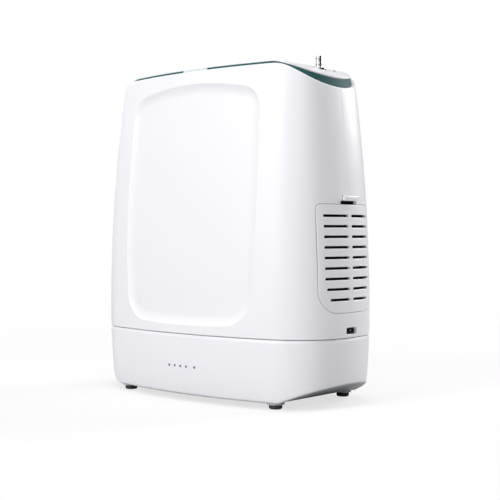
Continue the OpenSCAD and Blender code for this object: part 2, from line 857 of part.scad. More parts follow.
module battery_socket() {
    skin = 1.6;
    color(charcoal) difference() {
        box([plug_low.x - plug_gap - skin, plug_low.y - plug_gap - skin, chassis_top],
            [plug_high.x + plug_gap + skin, plug_high.y + plug_gap + skin, plug_top + 3]);
        plug_hole(chassis_top - over, plug_top + 0.6);
    }
}

module inner_frame() {
    post = 4;
    end = fan_back - 2.2;
    color(light_grey) difference() {
        union() {
            box([partition_x, -frame_half, chassis_top],
                [partition_x + partition_t, frame_half, board_top_z]);
            box([partition_x, -frame_half, shelf_z], [end, frame_half, shelf_top]);
            for (side = [0, 1]) mirror([0, side, 0])
                box([end - post, frame_half - 8, chassis_top], [end, frame_half, shelf_z + over]);
        }
        for (z = [70, 105])
            box([partition_x - over, 8 - frame_half, z],
                [partition_x + partition_t + over, frame_half - 8, z + 22]);
        rod_x([partition_x - over, 0, head_tube_z], tube_r + 0.4, partition_t + 2 * over);
        rod_x([partition_x - over, 0, manifold_z + 7], tube_r + 0.4, partition_t + 2 * over);
        rod_z([tank_at.x, tank_at.y, shelf_z - over], tube_r + 0.4, 5);
    }
}

module columns_at() {
    for (side = [-1, 1]) translate([column_x, side * column_y, 0]) children();
}

module sieve_columns() {
    color(metal) columns_at() rod_z([0, 0, column_low], column_r, column_l);
}

module column_caps() {
    color(charcoal) columns_at() for (z = [chassis_top, column_high - cap_lap])
        difference() {
            rod_z([0, 0, z], cap_r, cap_t);
            rod_z([0, 0, z > column_low ? z - over : column_low], column_r + 0.1, cap_lap + over);
        }
}

module valve_manifold() {
    color(metal) box([column_x - column_r, -manifold_half, manifold_z],
        [partition_x - 0.3, manifold_half, manifold_z + manifold_t]);
}

module solenoid_valves() {
    for (share = [-0.75, -0.25, 0.25, 0.75]) {
        y = share * manifold_half;
        color(charcoal) rod_z([column_x, y, manifold_z + manifold_t], 6.5, 10);
        color(metal) rod_z([column_x, y, manifold_z + manifold_t + 10], 3, 3);
    }
}

module product_tank() {
    color(metal) rod_z([tank_at.x, tank_at.y, chassis_top], tank_r, tank_top - chassis_top);
}

module muffler() {
    color(charcoal) rod_z([muffler_at.x, muffler_at.y, chassis_top], muffler_r, muffler_top - chassis_top);
}

// Serpentine pipe in front of the exhaust frame
module cooling_coil() {
    color("#B0764A") {
        for (i = [0:5])
            rod_y([coil_x, -coil_half, coil_low + i * coil_pitch], tube_r, 2 * coil_half);
        for (i = [0:4])
            rod_z([coil_x, (i % 2 == 0 ? 1 : -1) * coil_half, coil_low + i * coil_pitch], tube_r, coil_pitch);
        for (i = [0:5], side = [-1, 1])
            bend([coil_x, side * coil_half, coil_low + i * coil_pitch]);
    }
}

// Swollen corner of a pipe
module bend(at) {
    translate(at) sphere(r = tube_r + 0.2);
}

module air_tubes() {
    cap_port_z = chassis_top + cap_t / 2 + 1;
    color("#8FA6B2") {
        for (side = [-1, 1])
            rod_z([compressor_x, side * head_y, head_top], tube_r, head_tube_z - head_top);
        rod_y([compressor_x, -head_y, head_tube_z], tube_r, 2 * head_y);
        for (side = [-1, 1]) bend([compressor_x, side * head_y, head_tube_z]);
        rod_x([coil_x + tube_r + 0.3, 0, head_tube_z], tube_r, compressor_x - coil_x - tube_r - 0.3);
        rod_z([coil_x, -column_y, cap_port_z], tube_r, coil_low - tube_r - 0.3 - cap_port_z);
        bend([coil_x, -column_y, cap_port_z]);
        rod_x([coil_x, -column_y, cap_port_z], tube_r, column_x - cap_r - coil_x - 0.1);
        rod_x([partition_x, 0, manifold_z + 7], tube_r, sensor_x - partition_x);
        bend([sensor_x, 0, manifold_z + 7]);
        rod_z([sensor_x, 0, shelf_top + 12], tube_r, manifold_z + 7 - shelf_top - 12);
        rod_x([sensor_x + 9, 0, branch_tube_z], tube_r, conserver_x - 10 - sensor_x - 9);
        rod_z([conserver_x, 0, conserver_top], tube_r, 19);
        bend([conserver_x, 0, conserver_top + 19]);
        rod_x([conserver_x, 0, conserver_top + 19], tube_r, outlet_x - conserver_x);
        bend([outlet_x, 0, conserver_top + 19]);
        rod_z([outlet_x, 0, conserver_top + 19], tube_r, outlet_filter_low - conserver_top - 19);
        rod_z([tank_at.x, tank_at.y, tank_top], tube_r, branch_tube_z - tank_top);
        bend([tank_at.x, tank_at.y, branch_tube_z]);
        rod_y([tank_at.x, 10, branch_tube_z], tube_r, tank_at.y - 10);
        rod_x([compressor_x + case_half, muffler_at.y, 92], tube_r,
            muffler_at.x - muffler_r - compressor_x - case_half);
    }
}

module oxygen_sensor() {
    color(charcoal) box([sensor_x - 9, -8, shelf_top], [sensor_x + 9, 8, shelf_top + 12]);
}

module conserver_valve() {
    color(smoke) box([conserver_x - 10, -10, shelf_top], [conserver_x + 10, 10, conserver_top]);
}

module outlet_filter() {
    color("#D8DCDF") rod_z([outlet_x, 0, outlet_filter_low], outlet_filter_r, outlet_end - outlet_filter_low);
}

module compressor_base() {
    color(metal) box([compressor_x - 24, -case_far, sled_z], [compressor_x + 24, case_far, sled_top]);
}

module isolator_mounts() {
    color(charcoal) for (x = [-18, 18], y = [7 - case_far, case_far - 7])
        rod_z([compressor_x + x, y, chassis_top], mount_r, mount_t);
}

module crankcase() {
    color(metal) for (side = [0, 1]) mirror([0, side, 0]) difference() {
        box([compressor_x - case_half, case_near, sled_top], [compressor_x + case_half, case_far, case_top]);
        rod_y([compressor_x, case_near + bearing_t, shaft_z], cavity_r, case_far - case_near - 2 * bearing_t);
        rod_y([compressor_x, case_near - over, shaft_z], shaft_r + run_gap, bearing_t + 2 * over);
    }
}

module cylinder_heads() {
    fins = 4;
    color(metal) for (side = [-1, 1]) {
        rod_z([compressor_x, side * head_y, case_top], head_r - 2.5, head_top - case_top);
        for (i = [0:fins - 1])
            rod_z([compressor_x, side * head_y, case_top + 1.5 + i * 4], head_r, 1.8);
        rod_z([compressor_x, side * head_y, head_top - 8], head_r, 8);
    }
}

module motor_can() {
    color(smoke) difference() {
        rod_y([compressor_x, -motor_half, shaft_z], motor_r, 2 * motor_half);
        rod_y([compressor_x, -motor_half - over, shaft_z], shaft_r + run_gap, 2 * motor_half + 2 * over);
    }
}

module crank_rotor() {
    reach = case_near + bearing_t + 1;
    weight_t = 10;
    color("#8A8D91") {
        rod_y([compressor_x, -reach - weight_t, shaft_z], shaft_r, 2 * reach + 2 * weight_t);
        for (side = [-1, 1])
            intersection() {
                rod_y([compressor_x, side > 0 ? reach : -reach - weight_t, shaft_z], weight_r, weight_t);
                box([compressor_x - weight_r, side > 0 ? reach : -reach - weight_t, shaft_z - weight_r],
                    [compressor_x + weight_r, side > 0 ? reach + weight_t : -reach, shaft_z + 1]);
            }
    }
}

module fan_frame() {
    color(charcoal) difference() {
        union() {
            difference() {
                box([fan_back, -fan_w / 2, fan_z - fan_w / 2], [frame_back, fan_w / 2, fan_z + fan_w / 2]);
                rod_x([fan_back - over, 0, fan_z], fan_bore, fan_t + 2 * over);
            }
            rod_x([fan_back, 0, fan_z], hub_r, 3);
            for (turn = [0, 90])
                translate([fan_back + 1.25, 0, fan_z]) rotate([turn + 45, 0, 0])
                    cube([2.5, 2 * fan_bore + 2, 3], center = true);
        }
        rod_x([fan_back - over, 0, fan_z], pin_r + run_gap, 3 + 2 * over);
    }
}

module fan_rotor() {
    color(smoke) {
        rod_x([fan_back + 3.5, 0, fan_z], hub_r, fan_t - 4.5);
        rod_x([fan_back, 0, fan_z], pin_r, 4);
        intersection() {
            rod_x([fan_back + 3.5, 0, fan_z], fan_r, fan_t - 4.5);
            for (i = [0:6])
                translate([fan_back + 3.5 + (fan_t - 4.5) / 2, 0, fan_z]) rotate([i * 360 / 7, 0, 0])
                    translate([0, 0, fan_r / 2]) rotate([0, 0, 40]) cube([1.2, 11, fan_r + 4], center = true);
        }
    }
}

module main_board() {
    color(board_green) box([board_from, board_y, shelf_top], [board_to, board_y + board_t, board_top_z]);
}

// Block on the main board, between two shares of its length, standing out from its face
module chip(from, to, low, high, out) {
    run = board_to - board_from;
    box([board_from + from * run, board_y - out, shelf_top + low],
        [board_from + to * run, board_y, shelf_top + high]);
}

module board_parts() {
    color(charcoal) {
        chip(0.09, 0.35, 27, 49, 2.5);
        chip(0.49, 0.65, 37, 51, 2);
        chip(0.72, 0.91, 17, 29, 3);
    }
    color(metal) {
        for (share = [0.75, 0.91])
            rod_y([board_from + share * (board_to - board_from), board_y - 12, shelf_top + 57], 5, 12);
        chip(0.07, 0.37, 7, 17, 6);
    }
}

// Battery shell without its underside, bevelled along the rim at the seam
module battery_shell() {
    inner_top = battery_top + over;
    color(white) difference() {
        barrel(concat(rings(belly_z, battery_top - rim_h, 0), [[battery_top, rim_in]]));
        barrel(rings(belly_z - over, inner_top, shell_t));
        between(belly_curve(belly_z), level_curve(belly_z - 2 * over));
        for (x = light_x)
            rod_y([x, -face_y(x, light_z) - over, light_z], light_r + 0.05, shell_t + 2 * over);
    }
}

module battery_base() {
    color(light_grey) difference() {
        union() {
            intersection() {
                barrel(rings(base_z - over, base_z + 20, shell_t + fit));
                between(belly_curve(base_top), belly_curve(base_z));
            }
            for (x = [-foot_x, foot_x], y = [-foot_y, foot_y]) {
                rod_z([x, y, foot_top], foot_r + foot_boss_rim, foot_boss_h);
                rod_z([x, y, foot_top], foot_r + foot_boss_rim / 2, base_top - foot_top);
            }
        }
        for (x = [-foot_x, foot_x], y = [-foot_y, foot_y])
            rod_z([x, y, foot_top - over], foot_peg_r + 0.1, base_top - foot_top + 2 * over);
    }
}

module rubber_feet() {
    color("#3C3F43") for (x = [-foot_x, foot_x], y = [-foot_y, foot_y]) {
        rod_z([x, y, 0], foot_r, foot_top);
        rod_z([x, y, 0], foot_peg_r, base_top);
    }
}

module battery_lid() {
    color(smoke) difference() {
        plate(shell_t + fit, lid_z, lid_top - lid_z);
        box([plug_low.x - fit, plug_low.y - fit, lid_z - over],
            [plug_high.x + fit, plug_high.y + fit, lid_top + over]);
    }
}

// Guide posts on the lid and the catch beside the release button's tongue
module battery_guides() {
    catch_x = port_back + tongue_t + slip;
    color(smoke) {
        for (side = [-1, 1])
            rod_z([side * post_x, 0, lid_top], post_r, chassis_top - 0.6 - lid_top);
        box([-catch_x - tongue_t, -tongue_w / 2, lid_top], [-catch_x, tongue_w / 2, lid_top + catch_h]);
    }
}

module battery_plug() {
    color(charcoal) difference() {
        box([plug_low.x, plug_low.y, lid_z - 0.2], [plug_high.x, plug_high.y, plug_top]);
        for (y = [-8, -4, 0, 4, 8])
            box([plug_low.x + 1.8, y - 0.8, plug_top - 4], [plug_high.x - 1.8, y + 0.8, plug_top + over]);
    }
}

module battery_board() {
    color(board_green) box([cell_start + cell_l + 2, -28, lid_z - 0.2 - board_t],
        [half_w - 15, 28, lid_z - 0.2]);
}

module battery_cells() {
    color("#3F6FA8") for (side = [0, 1], row = [-1.5, -0.5, 0.5, 1.5], z = cell_z)
        mirror([side, 0, 0]) rod_x([cell_start, row * cell_pitch, z], cell_r, cell_l);
}

module cell_holder() {
    slab = 6;
    color(charcoal) for (side = [0, 1], x = [cell_start + 3, cell_start + cell_l - 3 - slab])
        mirror([side, 0, 0]) difference() {
            box([x, -holder_half, holder_low], [x + slab, holder_half, holder_high]);
            for (row = [-1.5, -0.5, 0.5, 1.5], z = cell_z)
                rod_x([x - over, row * cell_pitch, z], cell_r + 0.1, slab + 2 * over);
        }
}

module battery_lights() {
    inner = face_y(light_x[4], light_z) - shell_t - 0.4;
    color("#BFC6CC") {
        for (x = light_x)
            rod_y([x, -face_y(x, light_z) + 0.05, light_z], light_r, face_y(x, light_z) - inner + 1);
        box([light_x[0] - 3, -inner, light_z - 2], [light_x[4] + 3, 2.5 - inner, light_z + 2]);
    }
}

front_shell();
rear_shell();
accent_trim();
status_light();
top_panel();
display_window();
display_board();
keypad_switches();
indicator_lens();
oxygen_outlet();
outlet_nut();
chassis_plate();
inner_frame();
sieve_columns();
column_caps();
product_tank();
valve_manifold();
solenoid_valves();
air_tubes();
cooling_coil();
oxygen_sensor();
outlet_filter();
conserver_valve();
muffler();
compressor_base();
isolator_mounts();
crankcase();
cylinder_heads();
motor_can();
fan_frame();
intake_filter();
filter_frame();
exhaust_frame();
main_board();
board_parts();
power_inlet();
inlet_contacts();
battery_socket();
housing_screws();
intake_cover();
exhaust_cover();
intake_tab();
exhaust_tab();
power_button();
flow_up_button();
flow_down_button();
mute_button();
release_button();
fan_rotor();
crank_rotor();
battery_shell();
battery_base();
battery_lid();
battery_guides();
battery_plug();
battery_cells();
cell_holder();
battery_board();
battery_lights();
rubber_feet();
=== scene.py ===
import json
from math import radians, pi, sin, cos, atan2, sqrt
import numpy as np
import bpy
import bmesh
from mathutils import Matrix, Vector
from mathutils.geometry import delaunay_2d_cdt
from mathutils.kdtree import KDTree


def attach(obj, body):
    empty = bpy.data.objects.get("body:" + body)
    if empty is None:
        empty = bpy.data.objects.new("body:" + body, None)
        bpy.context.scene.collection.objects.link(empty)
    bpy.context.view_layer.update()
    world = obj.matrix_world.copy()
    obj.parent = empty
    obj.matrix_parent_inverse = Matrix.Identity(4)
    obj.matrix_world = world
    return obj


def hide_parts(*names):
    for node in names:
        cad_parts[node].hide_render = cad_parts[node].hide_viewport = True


# Portable oxygen concentrator, seen from its right front corner
# every size and place of a piece is in mm, and addMesh turns it to metres
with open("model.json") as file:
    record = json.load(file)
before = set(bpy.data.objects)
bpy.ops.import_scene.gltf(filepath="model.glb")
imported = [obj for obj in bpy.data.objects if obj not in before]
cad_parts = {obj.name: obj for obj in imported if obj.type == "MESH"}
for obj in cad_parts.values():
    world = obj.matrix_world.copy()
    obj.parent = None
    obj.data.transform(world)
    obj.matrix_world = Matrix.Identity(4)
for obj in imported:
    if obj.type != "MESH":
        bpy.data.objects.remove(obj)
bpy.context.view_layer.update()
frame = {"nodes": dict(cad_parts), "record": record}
mm = 0.001

# the camera, fitted to the photograph's outlines: its place in metres, its turns in degrees, its lens in mm
cameraSet = {"place": (0.54596, -0.60293, 0.12083), "turn": 41.34, "down": 0.947, "lens": 77.67, "sensor": 36,
             "nearest": 0.01}
cameraData = bpy.data.cameras.new("camera")
cameraData.lens = cameraSet["lens"]
cameraData.sensor_width = cameraSet["sensor"]
cameraData.clip_start = cameraSet["nearest"]
camera = bpy.data.objects.new("camera", cameraData)
camera.location = cameraSet["place"]
camera.rotation_euler = (radians(90 - cameraSet["down"]), 0, radians(cameraSet["turn"]))
bpy.context.scene.collection.objects.link(camera)
bpy.context.scene.camera = camera
bpy.context.scene.view_settings.view_transform = "Standard"


def linear(hexColour):
    # an sRGB hex colour as the linear one that a socket takes
    parts = [int(hexColour[i:i + 2], 16) / 255 for i in (1, 3, 5)]
    return tuple(part / 12.92 if part <= 0.04045 else ((part + 0.055) / 1.055) ** 2.4
                 for part in parts) + (1.0,)


def addNode(tree, kind, settings=None, values=None, links=None):
    node = tree.nodes.new(kind)
    for key, value in (settings or {}).items():
        setattr(node, key, value)
    for key, value in (values or {}).items():
        node.inputs[key].default_value = value
    for key, source in (links or {}).items():
        tree.links.new(source, node.inputs[key])
    return node


def startMaterial(name, values):
    material = bpy.data.materials.new(name)
    material.use_nodes = True
    tree = material.node_tree
    shader = tree.nodes["Principled BSDF"]
    for socket, value in values.items():
        shader.inputs[socket].default_value = value
    place = addNode(tree, "ShaderNodeTexCoord").outputs["Object"]
    return material, tree, shader, place


# nearly all of a noise's values lie in this span
noiseSpan = {"From Min": 0.2, "From Max": 0.8}
# what all the plastics, or all the metals, have in common; a look's own sizes are all in mm
plasticSet = {"coatRoughness": 0.12, "wornShare": 0.6, "grainDetail": 3.0, "grainDeepMm": 0.02,
              "bevelSamples": 4}
metalSet = {"cloudMm": 12, "duller": 0.07, "brighter": 0.05, "lines": 0.25, "linesDeepMm": 0.01}


def moulded(name, look):
    # injection-moulded plastic: an even colour, soft edges and a spark-eroded grain; the real grain is about
    # 0.1 mm wide and is drawn coarser to show
    material, tree, shader, place = startMaterial(name, {
        "IOR": look.get("ior", 1.5), "Metallic": 0.0, "Coat Weight": look.get("coat", 0.0),
        "Coat Roughness": plasticSet["coatRoughness"]})
    flow = addNode(tree, "ShaderNodeTexNoise", {}, {"Scale": 1000 / look["flowMm"]}, {"Vector": place})
    cloud = addNode(tree, "ShaderNodeMapRange", {"clamp": False}, noiseSpan, {"Value": flow.outputs["Fac"]})
    tint = addNode(tree, "ShaderNodeMix", {"data_type": "RGBA"},
                   {"A": linear(look["colour"]), "B": linear(look["colourToo"])},
                   {"Factor": cloud.outputs["Result"]})
    worn = addNode(tree, "ShaderNodeTexNoise", {},
                   {"Scale": 1000 / (look["flowMm"] * plasticSet["wornShare"])}, {"Vector": place})
    rough = addNode(tree, "ShaderNodeMapRange", {"clamp": False},
                    {**noiseSpan, "To Min": look["roughness"] - look["spread"],
                     "To Max": look["roughness"] + look["spread"]}, {"Value": worn.outputs["Fac"]})
    grain = addNode(tree, "ShaderNodeTexNoise", {},
                    {"Scale": 1000 / look["grainMm"], "Detail": plasticSet["grainDetail"]}, {"Vector": place})
    softEdge = addNode(tree, "ShaderNodeBevel", {"samples": plasticSet["bevelSamples"]},
                       {"Radius": look["edgeMm"] * mm})
    bump = addNode(tree, "ShaderNodeBump", {},
                   {"Strength": look["grain"], "Distance": plasticSet["grainDeepMm"] * mm},
                   {"Height": grain.outputs["Fac"], "Normal": softEdge.outputs["Normal"]})
    tree.links.new(tint.outputs["Result"], shader.inputs["Base Color"])
    tree.links.new(rough.outputs["Result"], shader.inputs["Roughness"])
    tree.links.new(bump.outputs["Normal"], shader.inputs["Normal"])
    return material


def rolled(name, look):
    # drawn, turned or rolled metal: a soft sheen and fine lines, drawn about half a millimetre apart to show;
    # they run long where along is small
    material, tree, shader, place = startMaterial(name, {"Metallic": 1.0})
    flow = addNode(tree, "ShaderNodeTexNoise", {}, {"Scale": 1000 / metalSet["cloudMm"]}, {"Vector": place})
    cloud = addNode(tree, "ShaderNodeMapRange", {"clamp": False}, noiseSpan, {"Value": flow.outputs["Fac"]})
    tint = addNode(tree, "ShaderNodeMix", {"data_type": "RGBA"},
                   {"A": linear(look["colour"]), "B": linear(look["colourToo"])},
                   {"Factor": cloud.outputs["Result"]})
    drawn = addNode(tree, "ShaderNodeVectorMath", {"operation": "MULTIPLY"}, {1: look["along"]}, {0: place})
    lines = addNode(tree, "ShaderNodeTexNoise", {}, {"Scale": 1000 / look["lineMm"]},
                    {"Vector": drawn.outputs["Vector"]})
    rough = addNode(tree, "ShaderNodeMapRange", {"clamp": False},
                    {**noiseSpan, "To Min": look["roughness"] - metalSet["brighter"],
                     "To Max": look["roughness"] + metalSet["duller"]}, {"Value": lines.outputs["Fac"]})
    bump = addNode(tree, "ShaderNodeBump", {},
                   {"Strength": metalSet["lines"], "Distance": metalSet["linesDeepMm"] * mm},
                   {"Height": lines.outputs["Fac"]})
    tree.links.new(tint.outputs["Result"], shader.inputs["Base Color"])
    tree.links.new(rough.outputs["Result"], shader.inputs["Roughness"])
    tree.links.new(bump.outputs["Normal"], shader.inputs["Normal"])
    return material


# ABS: opaque and satin, and a fine mould grain breaks its highlights; the low IOR keeps the trim dull
whiteAbs = moulded("gloss white moulded ABS", {"colour": "#F4F4F8", "colourToo": "#F2F2F7", "roughness": 0.42,
    "spread": 0.02, "flowMm": 90, "grainMm": 0.9, "grain": 0.12, "edgeMm": 0.25, "coat": 0.06})
trimAbs = moulded("teal moulded ABS", {"colour": "#28595A", "colourToo": "#265556", "roughness": 0.6,
    "spread": 0.04, "flowMm": 40, "grainMm": 0.8, "grain": 0.2, "edgeMm": 0.2, "ior": 1.33})
greyAbs = moulded("dark grey moulded ABS", {"colour": "#4A4D52", "colourToo": "#44474C", "roughness": 0.5,
    "spread": 0.05, "flowMm": 30, "grainMm": 0.7, "grain": 0.4, "edgeMm": 0.3})
paleAbs = moulded("light grey moulded ABS", {"colour": "#D6DADE", "colourToo": "#D0D4D9", "roughness": 0.4,
    "spread": 0.04, "flowMm": 30, "grainMm": 0.7, "grain": 0.3, "edgeMm": 0.2})
# glass-filled nylon: nearly black with a dull, slightly mottled skin
blackNylon = moulded("black glass-filled nylon", {"colour": "#1B1C1F", "colourToo": "#26272A",
    "roughness": 0.55, "spread": 0.08, "flowMm": 8, "grainMm": 0.5, "grain": 0.5, "edgeMm": 0.2})
# rubber: dark, soft sheen, powdery where it was handled
footRubber = moulded("black moulded rubber", {"colour": "#3A3C40", "colourToo": "#44474B", "roughness": 0.75,
    "spread": 0.08, "flowMm": 6, "grainMm": 0.6, "grain": 0.8, "edgeMm": 0.5, "ior": 1.52})
# acrylic: polished, as a dark window over the display and a small red lens
tintedAcrylic = moulded("smoked acrylic", {"colour": "#0E1216", "colourToo": "#11161B", "roughness": 0.08,
    "spread": 0.02, "flowMm": 50, "grainMm": 2.0, "grain": 0.02, "edgeMm": 0.2, "ior": 1.49, "coat": 0.5})
redAcrylic = moulded("red acrylic lens", {"colour": "#B4544C", "colourToo": "#A84A44", "roughness": 0.15,
    "spread": 0.03, "flowMm": 3, "grainMm": 0.6, "grain": 0.05, "edgeMm": 0.2, "ior": 1.49})
# polycarbonate light guide: milky and smooth
milkyGuide = moulded("frosted polycarbonate", {"colour": "#DCE4E6", "colourToo": "#D4DDE0", "roughness": 0.28,
    "spread": 0.04, "flowMm": 10, "grainMm": 0.8, "grain": 0.1, "edgeMm": 0.15, "ior": 1.58})
lampGuide = moulded("unlit lamp polycarbonate", {"colour": "#747B85", "colourToo": "#6D747E",
    "roughness": 0.25, "spread": 0.04, "flowMm": 2, "grainMm": 0.5, "grain": 0.1, "edgeMm": 0.1, "ior": 1.58})
# PVC sleeve shrunk round the cells: even and softly glossy
pvcWrap = moulded("blue PVC cell wrap", {"colour": "#3B6AA6", "colourToo": "#345F98", "roughness": 0.35,
    "spread": 0.05, "flowMm": 15, "grainMm": 1.0, "grain": 0.15, "edgeMm": 0.3})
# extruded silicone: cloudy and a little dull
siliconeTube = moulded("silicone tube", {"colour": "#A9BCC4", "colourToo": "#9DB0B9", "roughness": 0.45,
    "spread": 0.06, "flowMm": 10, "grainMm": 1.2, "grain": 0.15, "edgeMm": 0.2, "ior": 1.41})
# solder mask over glass fibre: green, half glossy and slightly uneven
circuitBoard = moulded("solder-masked glass fibre board", {"colour": "#1F5B3B", "colourToo": "#1A4F33",
    "roughness": 0.35, "spread": 0.06, "flowMm": 4, "grainMm": 0.4, "grain": 0.3, "edgeMm": 0.1})
# the marks on the keys: printed ink, flat and even; the display's lit segments: painted glow, a pale flat
# colour that stands in for their light
paintedDisplayGlow = moulded("pale painted display glow", {"colour": "#9FB8AE", "colourToo": "#93ACA2", "roughness": 0.4,
    "spread": 0.03, "flowMm": 3, "grainMm": 0.4, "grain": 0.05, "edgeMm": 0.05})
keyInkPale = moulded("white pad-printed ink", {"colour": "#E6E9EA", "colourToo": "#DDE1E3", "roughness": 0.45,
    "spread": 0.04, "flowMm": 2, "grainMm": 0.4, "grain": 0.1, "edgeMm": 0.05})
keyInkDark = moulded("grey pad-printed ink", {"colour": "#3C4146", "colourToo": "#45494E", "roughness": 0.45,
    "spread": 0.04, "flowMm": 2, "grainMm": 0.4, "grain": 0.1, "edgeMm": 0.05})
# open-cell foam: black, full of pores about a third of a millimetre wide, drawn at 1 mm to show
filterFoam = moulded("open-cell filter foam", {"colour": "#17181A", "colourToo": "#232427", "roughness": 0.9,
    "spread": 0.05, "flowMm": 1.6, "grainMm": 1.0, "grain": 1.0, "edgeMm": 0.4})
# nickel plating on turned brass: bright, with fine rings from the lathe
nickelPlate = rolled("nickel-plated brass", {"colour": "#B9BABB", "colourToo": "#ADAFB1", "roughness": 0.2,
    "lineMm": 0.4, "along": (0.3, 0.3, 3.0)})
# anodised aluminium: pale and satin, with faint upright lines from drawing
anodised = rolled("anodised aluminium", {"colour": "#BFC2C6", "colourToo": "#B4B8BD", "roughness": 0.38,
    "lineMm": 0.5, "along": (1.0, 1.0, 0.05)})
# zinc plating on rolled steel: cool grey and half bright, with faint lines
plainSteel = rolled("zinc-plated steel", {"colour": "#A9ACB0", "colourToo": "#9B9FA5", "roughness": 0.35,
    "lineMm": 0.5, "along": (1.0, 0.1, 1.0)})
# drawn copper: warm and fairly bright, with faint lines along it
copperPipe = rolled("drawn copper pipe", {"colour": "#B8734B", "colourToo": "#A5633F", "roughness": 0.3,
    "lineMm": 0.5, "along": (1.0, 0.1, 1.0)})
print("materials made")

# the housing's plan is three arcs a quarter, set inwards with height; a fall is where a shoulder starts, its
# small radius, the degrees it turns through there, and the large radius after that
shape = {"halfWidth": 109, "halfDepth": 57.5, "frontR": 350, "sideR": 83, "cornerR": 40, "widestZ": 61,
         "bowTopR": 1300, "bowLowR": 530, "edgeZ": 236.65, "panelZ": 239.5,
         "edgeFall": (68.6, 29.4, 30.4, 90), "panelFall": (67, 14, 12.5, 80)}
frontCentre = np.array([0.0, shape["frontR"] - shape["halfDepth"]])
sideCentre = np.array([shape["halfWidth"] - shape["sideR"], 0.0])
apart = np.hypot(*(sideCentre - frontCentre))
toSide = (sideCentre - frontCentre) / apart
frontReach = shape["frontR"] - shape["cornerR"]
alongApart = (frontReach ** 2 - (shape["sideR"] - shape["cornerR"]) ** 2 + apart ** 2) / (2 * apart)
across = sqrt(frontReach ** 2 - alongApart ** 2) * np.array([-toSide[1], toSide[0]])
cornerCentre = frontCentre + alongApart * toSide + across
frontTurn = atan2(cornerCentre[0], frontCentre[1] - cornerCentre[1])
sideTurn = atan2(-cornerCentre[1], cornerCentre[0] - sideCentre[0])
frontRun = shape["frontR"] * frontTurn
cornerRun = shape["cornerR"] * (pi / 2 - frontTurn - sideTurn)
quarter = frontRun + cornerRun + shape["sideR"] * sideTurn

# how finely a place on the housing's skin is looked for
search = {"sideHalf": 60, "sideSteps": 1600, "startZ": 230.0, "rounds": 8}


def bow(z):
    away = z - shape["widestZ"]
    return away ** 2 / (2 * np.where(away > 0, shape["bowTopR"], shape["bowLowR"]))


def onSkin(u, z, depth):
    # u runs round the outside from the middle of the front towards the right side
    lap = np.mod(u, 4 * quarter)
    part = np.minimum(np.floor(lap / quarter).astype(int), 3)
    run = np.where(part % 2 == 1, quarter * (part + 1) - lap, lap - quarter * part)
    flipX = np.where(part < 2, 1.0, -1.0)
    flipY = np.where((part == 0) | (part == 3), 1.0, -1.0)
    onFront, onCorner = run < frontRun, run < frontRun + cornerRun
    centreX = np.where(onFront, 0.0, np.where(onCorner, cornerCentre[0], sideCentre[0]))
    centreY = np.where(onFront, frontCentre[1], np.where(onCorner, cornerCentre[1], 0.0))
    radius = np.where(onFront, shape["frontR"], np.where(onCorner, shape["cornerR"], shape["sideR"]))
    angle = np.where(onFront, -pi / 2 + run / shape["frontR"],
                     np.where(onCorner, frontTurn - pi / 2 + (run - frontRun) / shape["cornerR"],
                              (run - quarter) / shape["sideR"]))
    reach = radius - bow(z) - depth
    return np.stack([flipX * (centreX + reach * np.cos(angle)), flipY * (centreY + reach * np.sin(angle)),
                     z + 0 * u], -1)


def uOnSide(y, z):
    # how far round the outside a point of the right side lies, from its distance to the middle of that side
    places = np.linspace(quarter - search["sideHalf"], quarter + search["sideHalf"], search["sideSteps"])
    return np.array([np.interp(eachY, onSkin(places, np.full(len(places), eachZ), 0)[:, 1], places)
                     for eachY, eachZ in zip(np.atleast_1d(y), np.atleast_1d(z))])


def drop(x, start, nearR, degrees, farR):
    turn = radians(degrees)
    run = np.maximum(np.abs(x) - start, 0.0)
    near = nearR * sin(turn)
    small = nearR - np.sqrt(np.maximum(nearR ** 2 - np.minimum(run, near) ** 2, 0.0))
    far = farR * (cos(turn) - np.cos(np.arcsin(np.clip(sin(turn) + (run - near) / farR, -1, 1))))
    return np.where(run < near, small, nearR * (1 - cos(turn)) + far)


def edgeTop(x):
    return shape["edgeZ"] - drop(x, *shape["edgeFall"])


def panelTop(x):
    return shape["panelZ"] - drop(x, *shape["panelFall"])


def heightAt(u, depth, curve, below=0.0):
    # the height at which a wall set in by depth meets a curve, or comes to lie below it
    z = np.full(np.shape(u), search["startZ"])
    for _ in range(search["rounds"]):
        z = curve(onSkin(u, z, depth)[..., 0]) - below
    return z


def rounded(halfWidth, low, high, lowR, highR, count=10):
    # an upright rectangle about x = 0 with round corners
    points = []
    corners = ((halfWidth - highR, high - highR, highR, 0), (highR - halfWidth, high - highR, highR, 90),
               (lowR - halfWidth, low + lowR, lowR, 180), (halfWidth - lowR, low + lowR, lowR, 270))
    for centreX, centreY, r, start in corners:
        turns = np.radians(start + 90 * np.arange(count + 1) / count)
        points.append(np.stack([centreX + r * np.cos(turns), centreY + r * np.sin(turns)], -1))
    return np.concatenate(points)


def ring(centreX, centreY, r, count=64):
    turns = np.linspace(0, 2 * pi, count, endpoint=False)
    return np.stack([centreX + r * np.cos(turns), centreY + r * np.sin(turns)], -1)


# how all the meshes are made, in mm where it is a length
meshing = {"sameWithin": 1e-6, "rowShare": 0.866, "apartShare": 0.55, "batch": 4000, "joinWithin": 1e-7,
           "edgeSteps": 3, "slopeStep": 0.05, "backCoarser": 1.5, "weldWithin": 0.002, "onPlane": 0.01,
           "shortest": 1e-12}


def resampled(loop, step, closed=True):
    points = []
    for i in range(len(loop) if closed else len(loop) - 1):
        a, b = loop[i], loop[(i + 1) % len(loop)]
        length = np.hypot(b[0] - a[0], b[1] - a[1])
        if length > meshing["sameWithin"]:
            count = max(1, int(np.ceil(length / step)))
            points += [a + (b - a) * k / count for k in range(count)]
    return np.array(points)


def withRadius(points, radius):
    return np.column_stack([points, np.full(len(points), radius)])


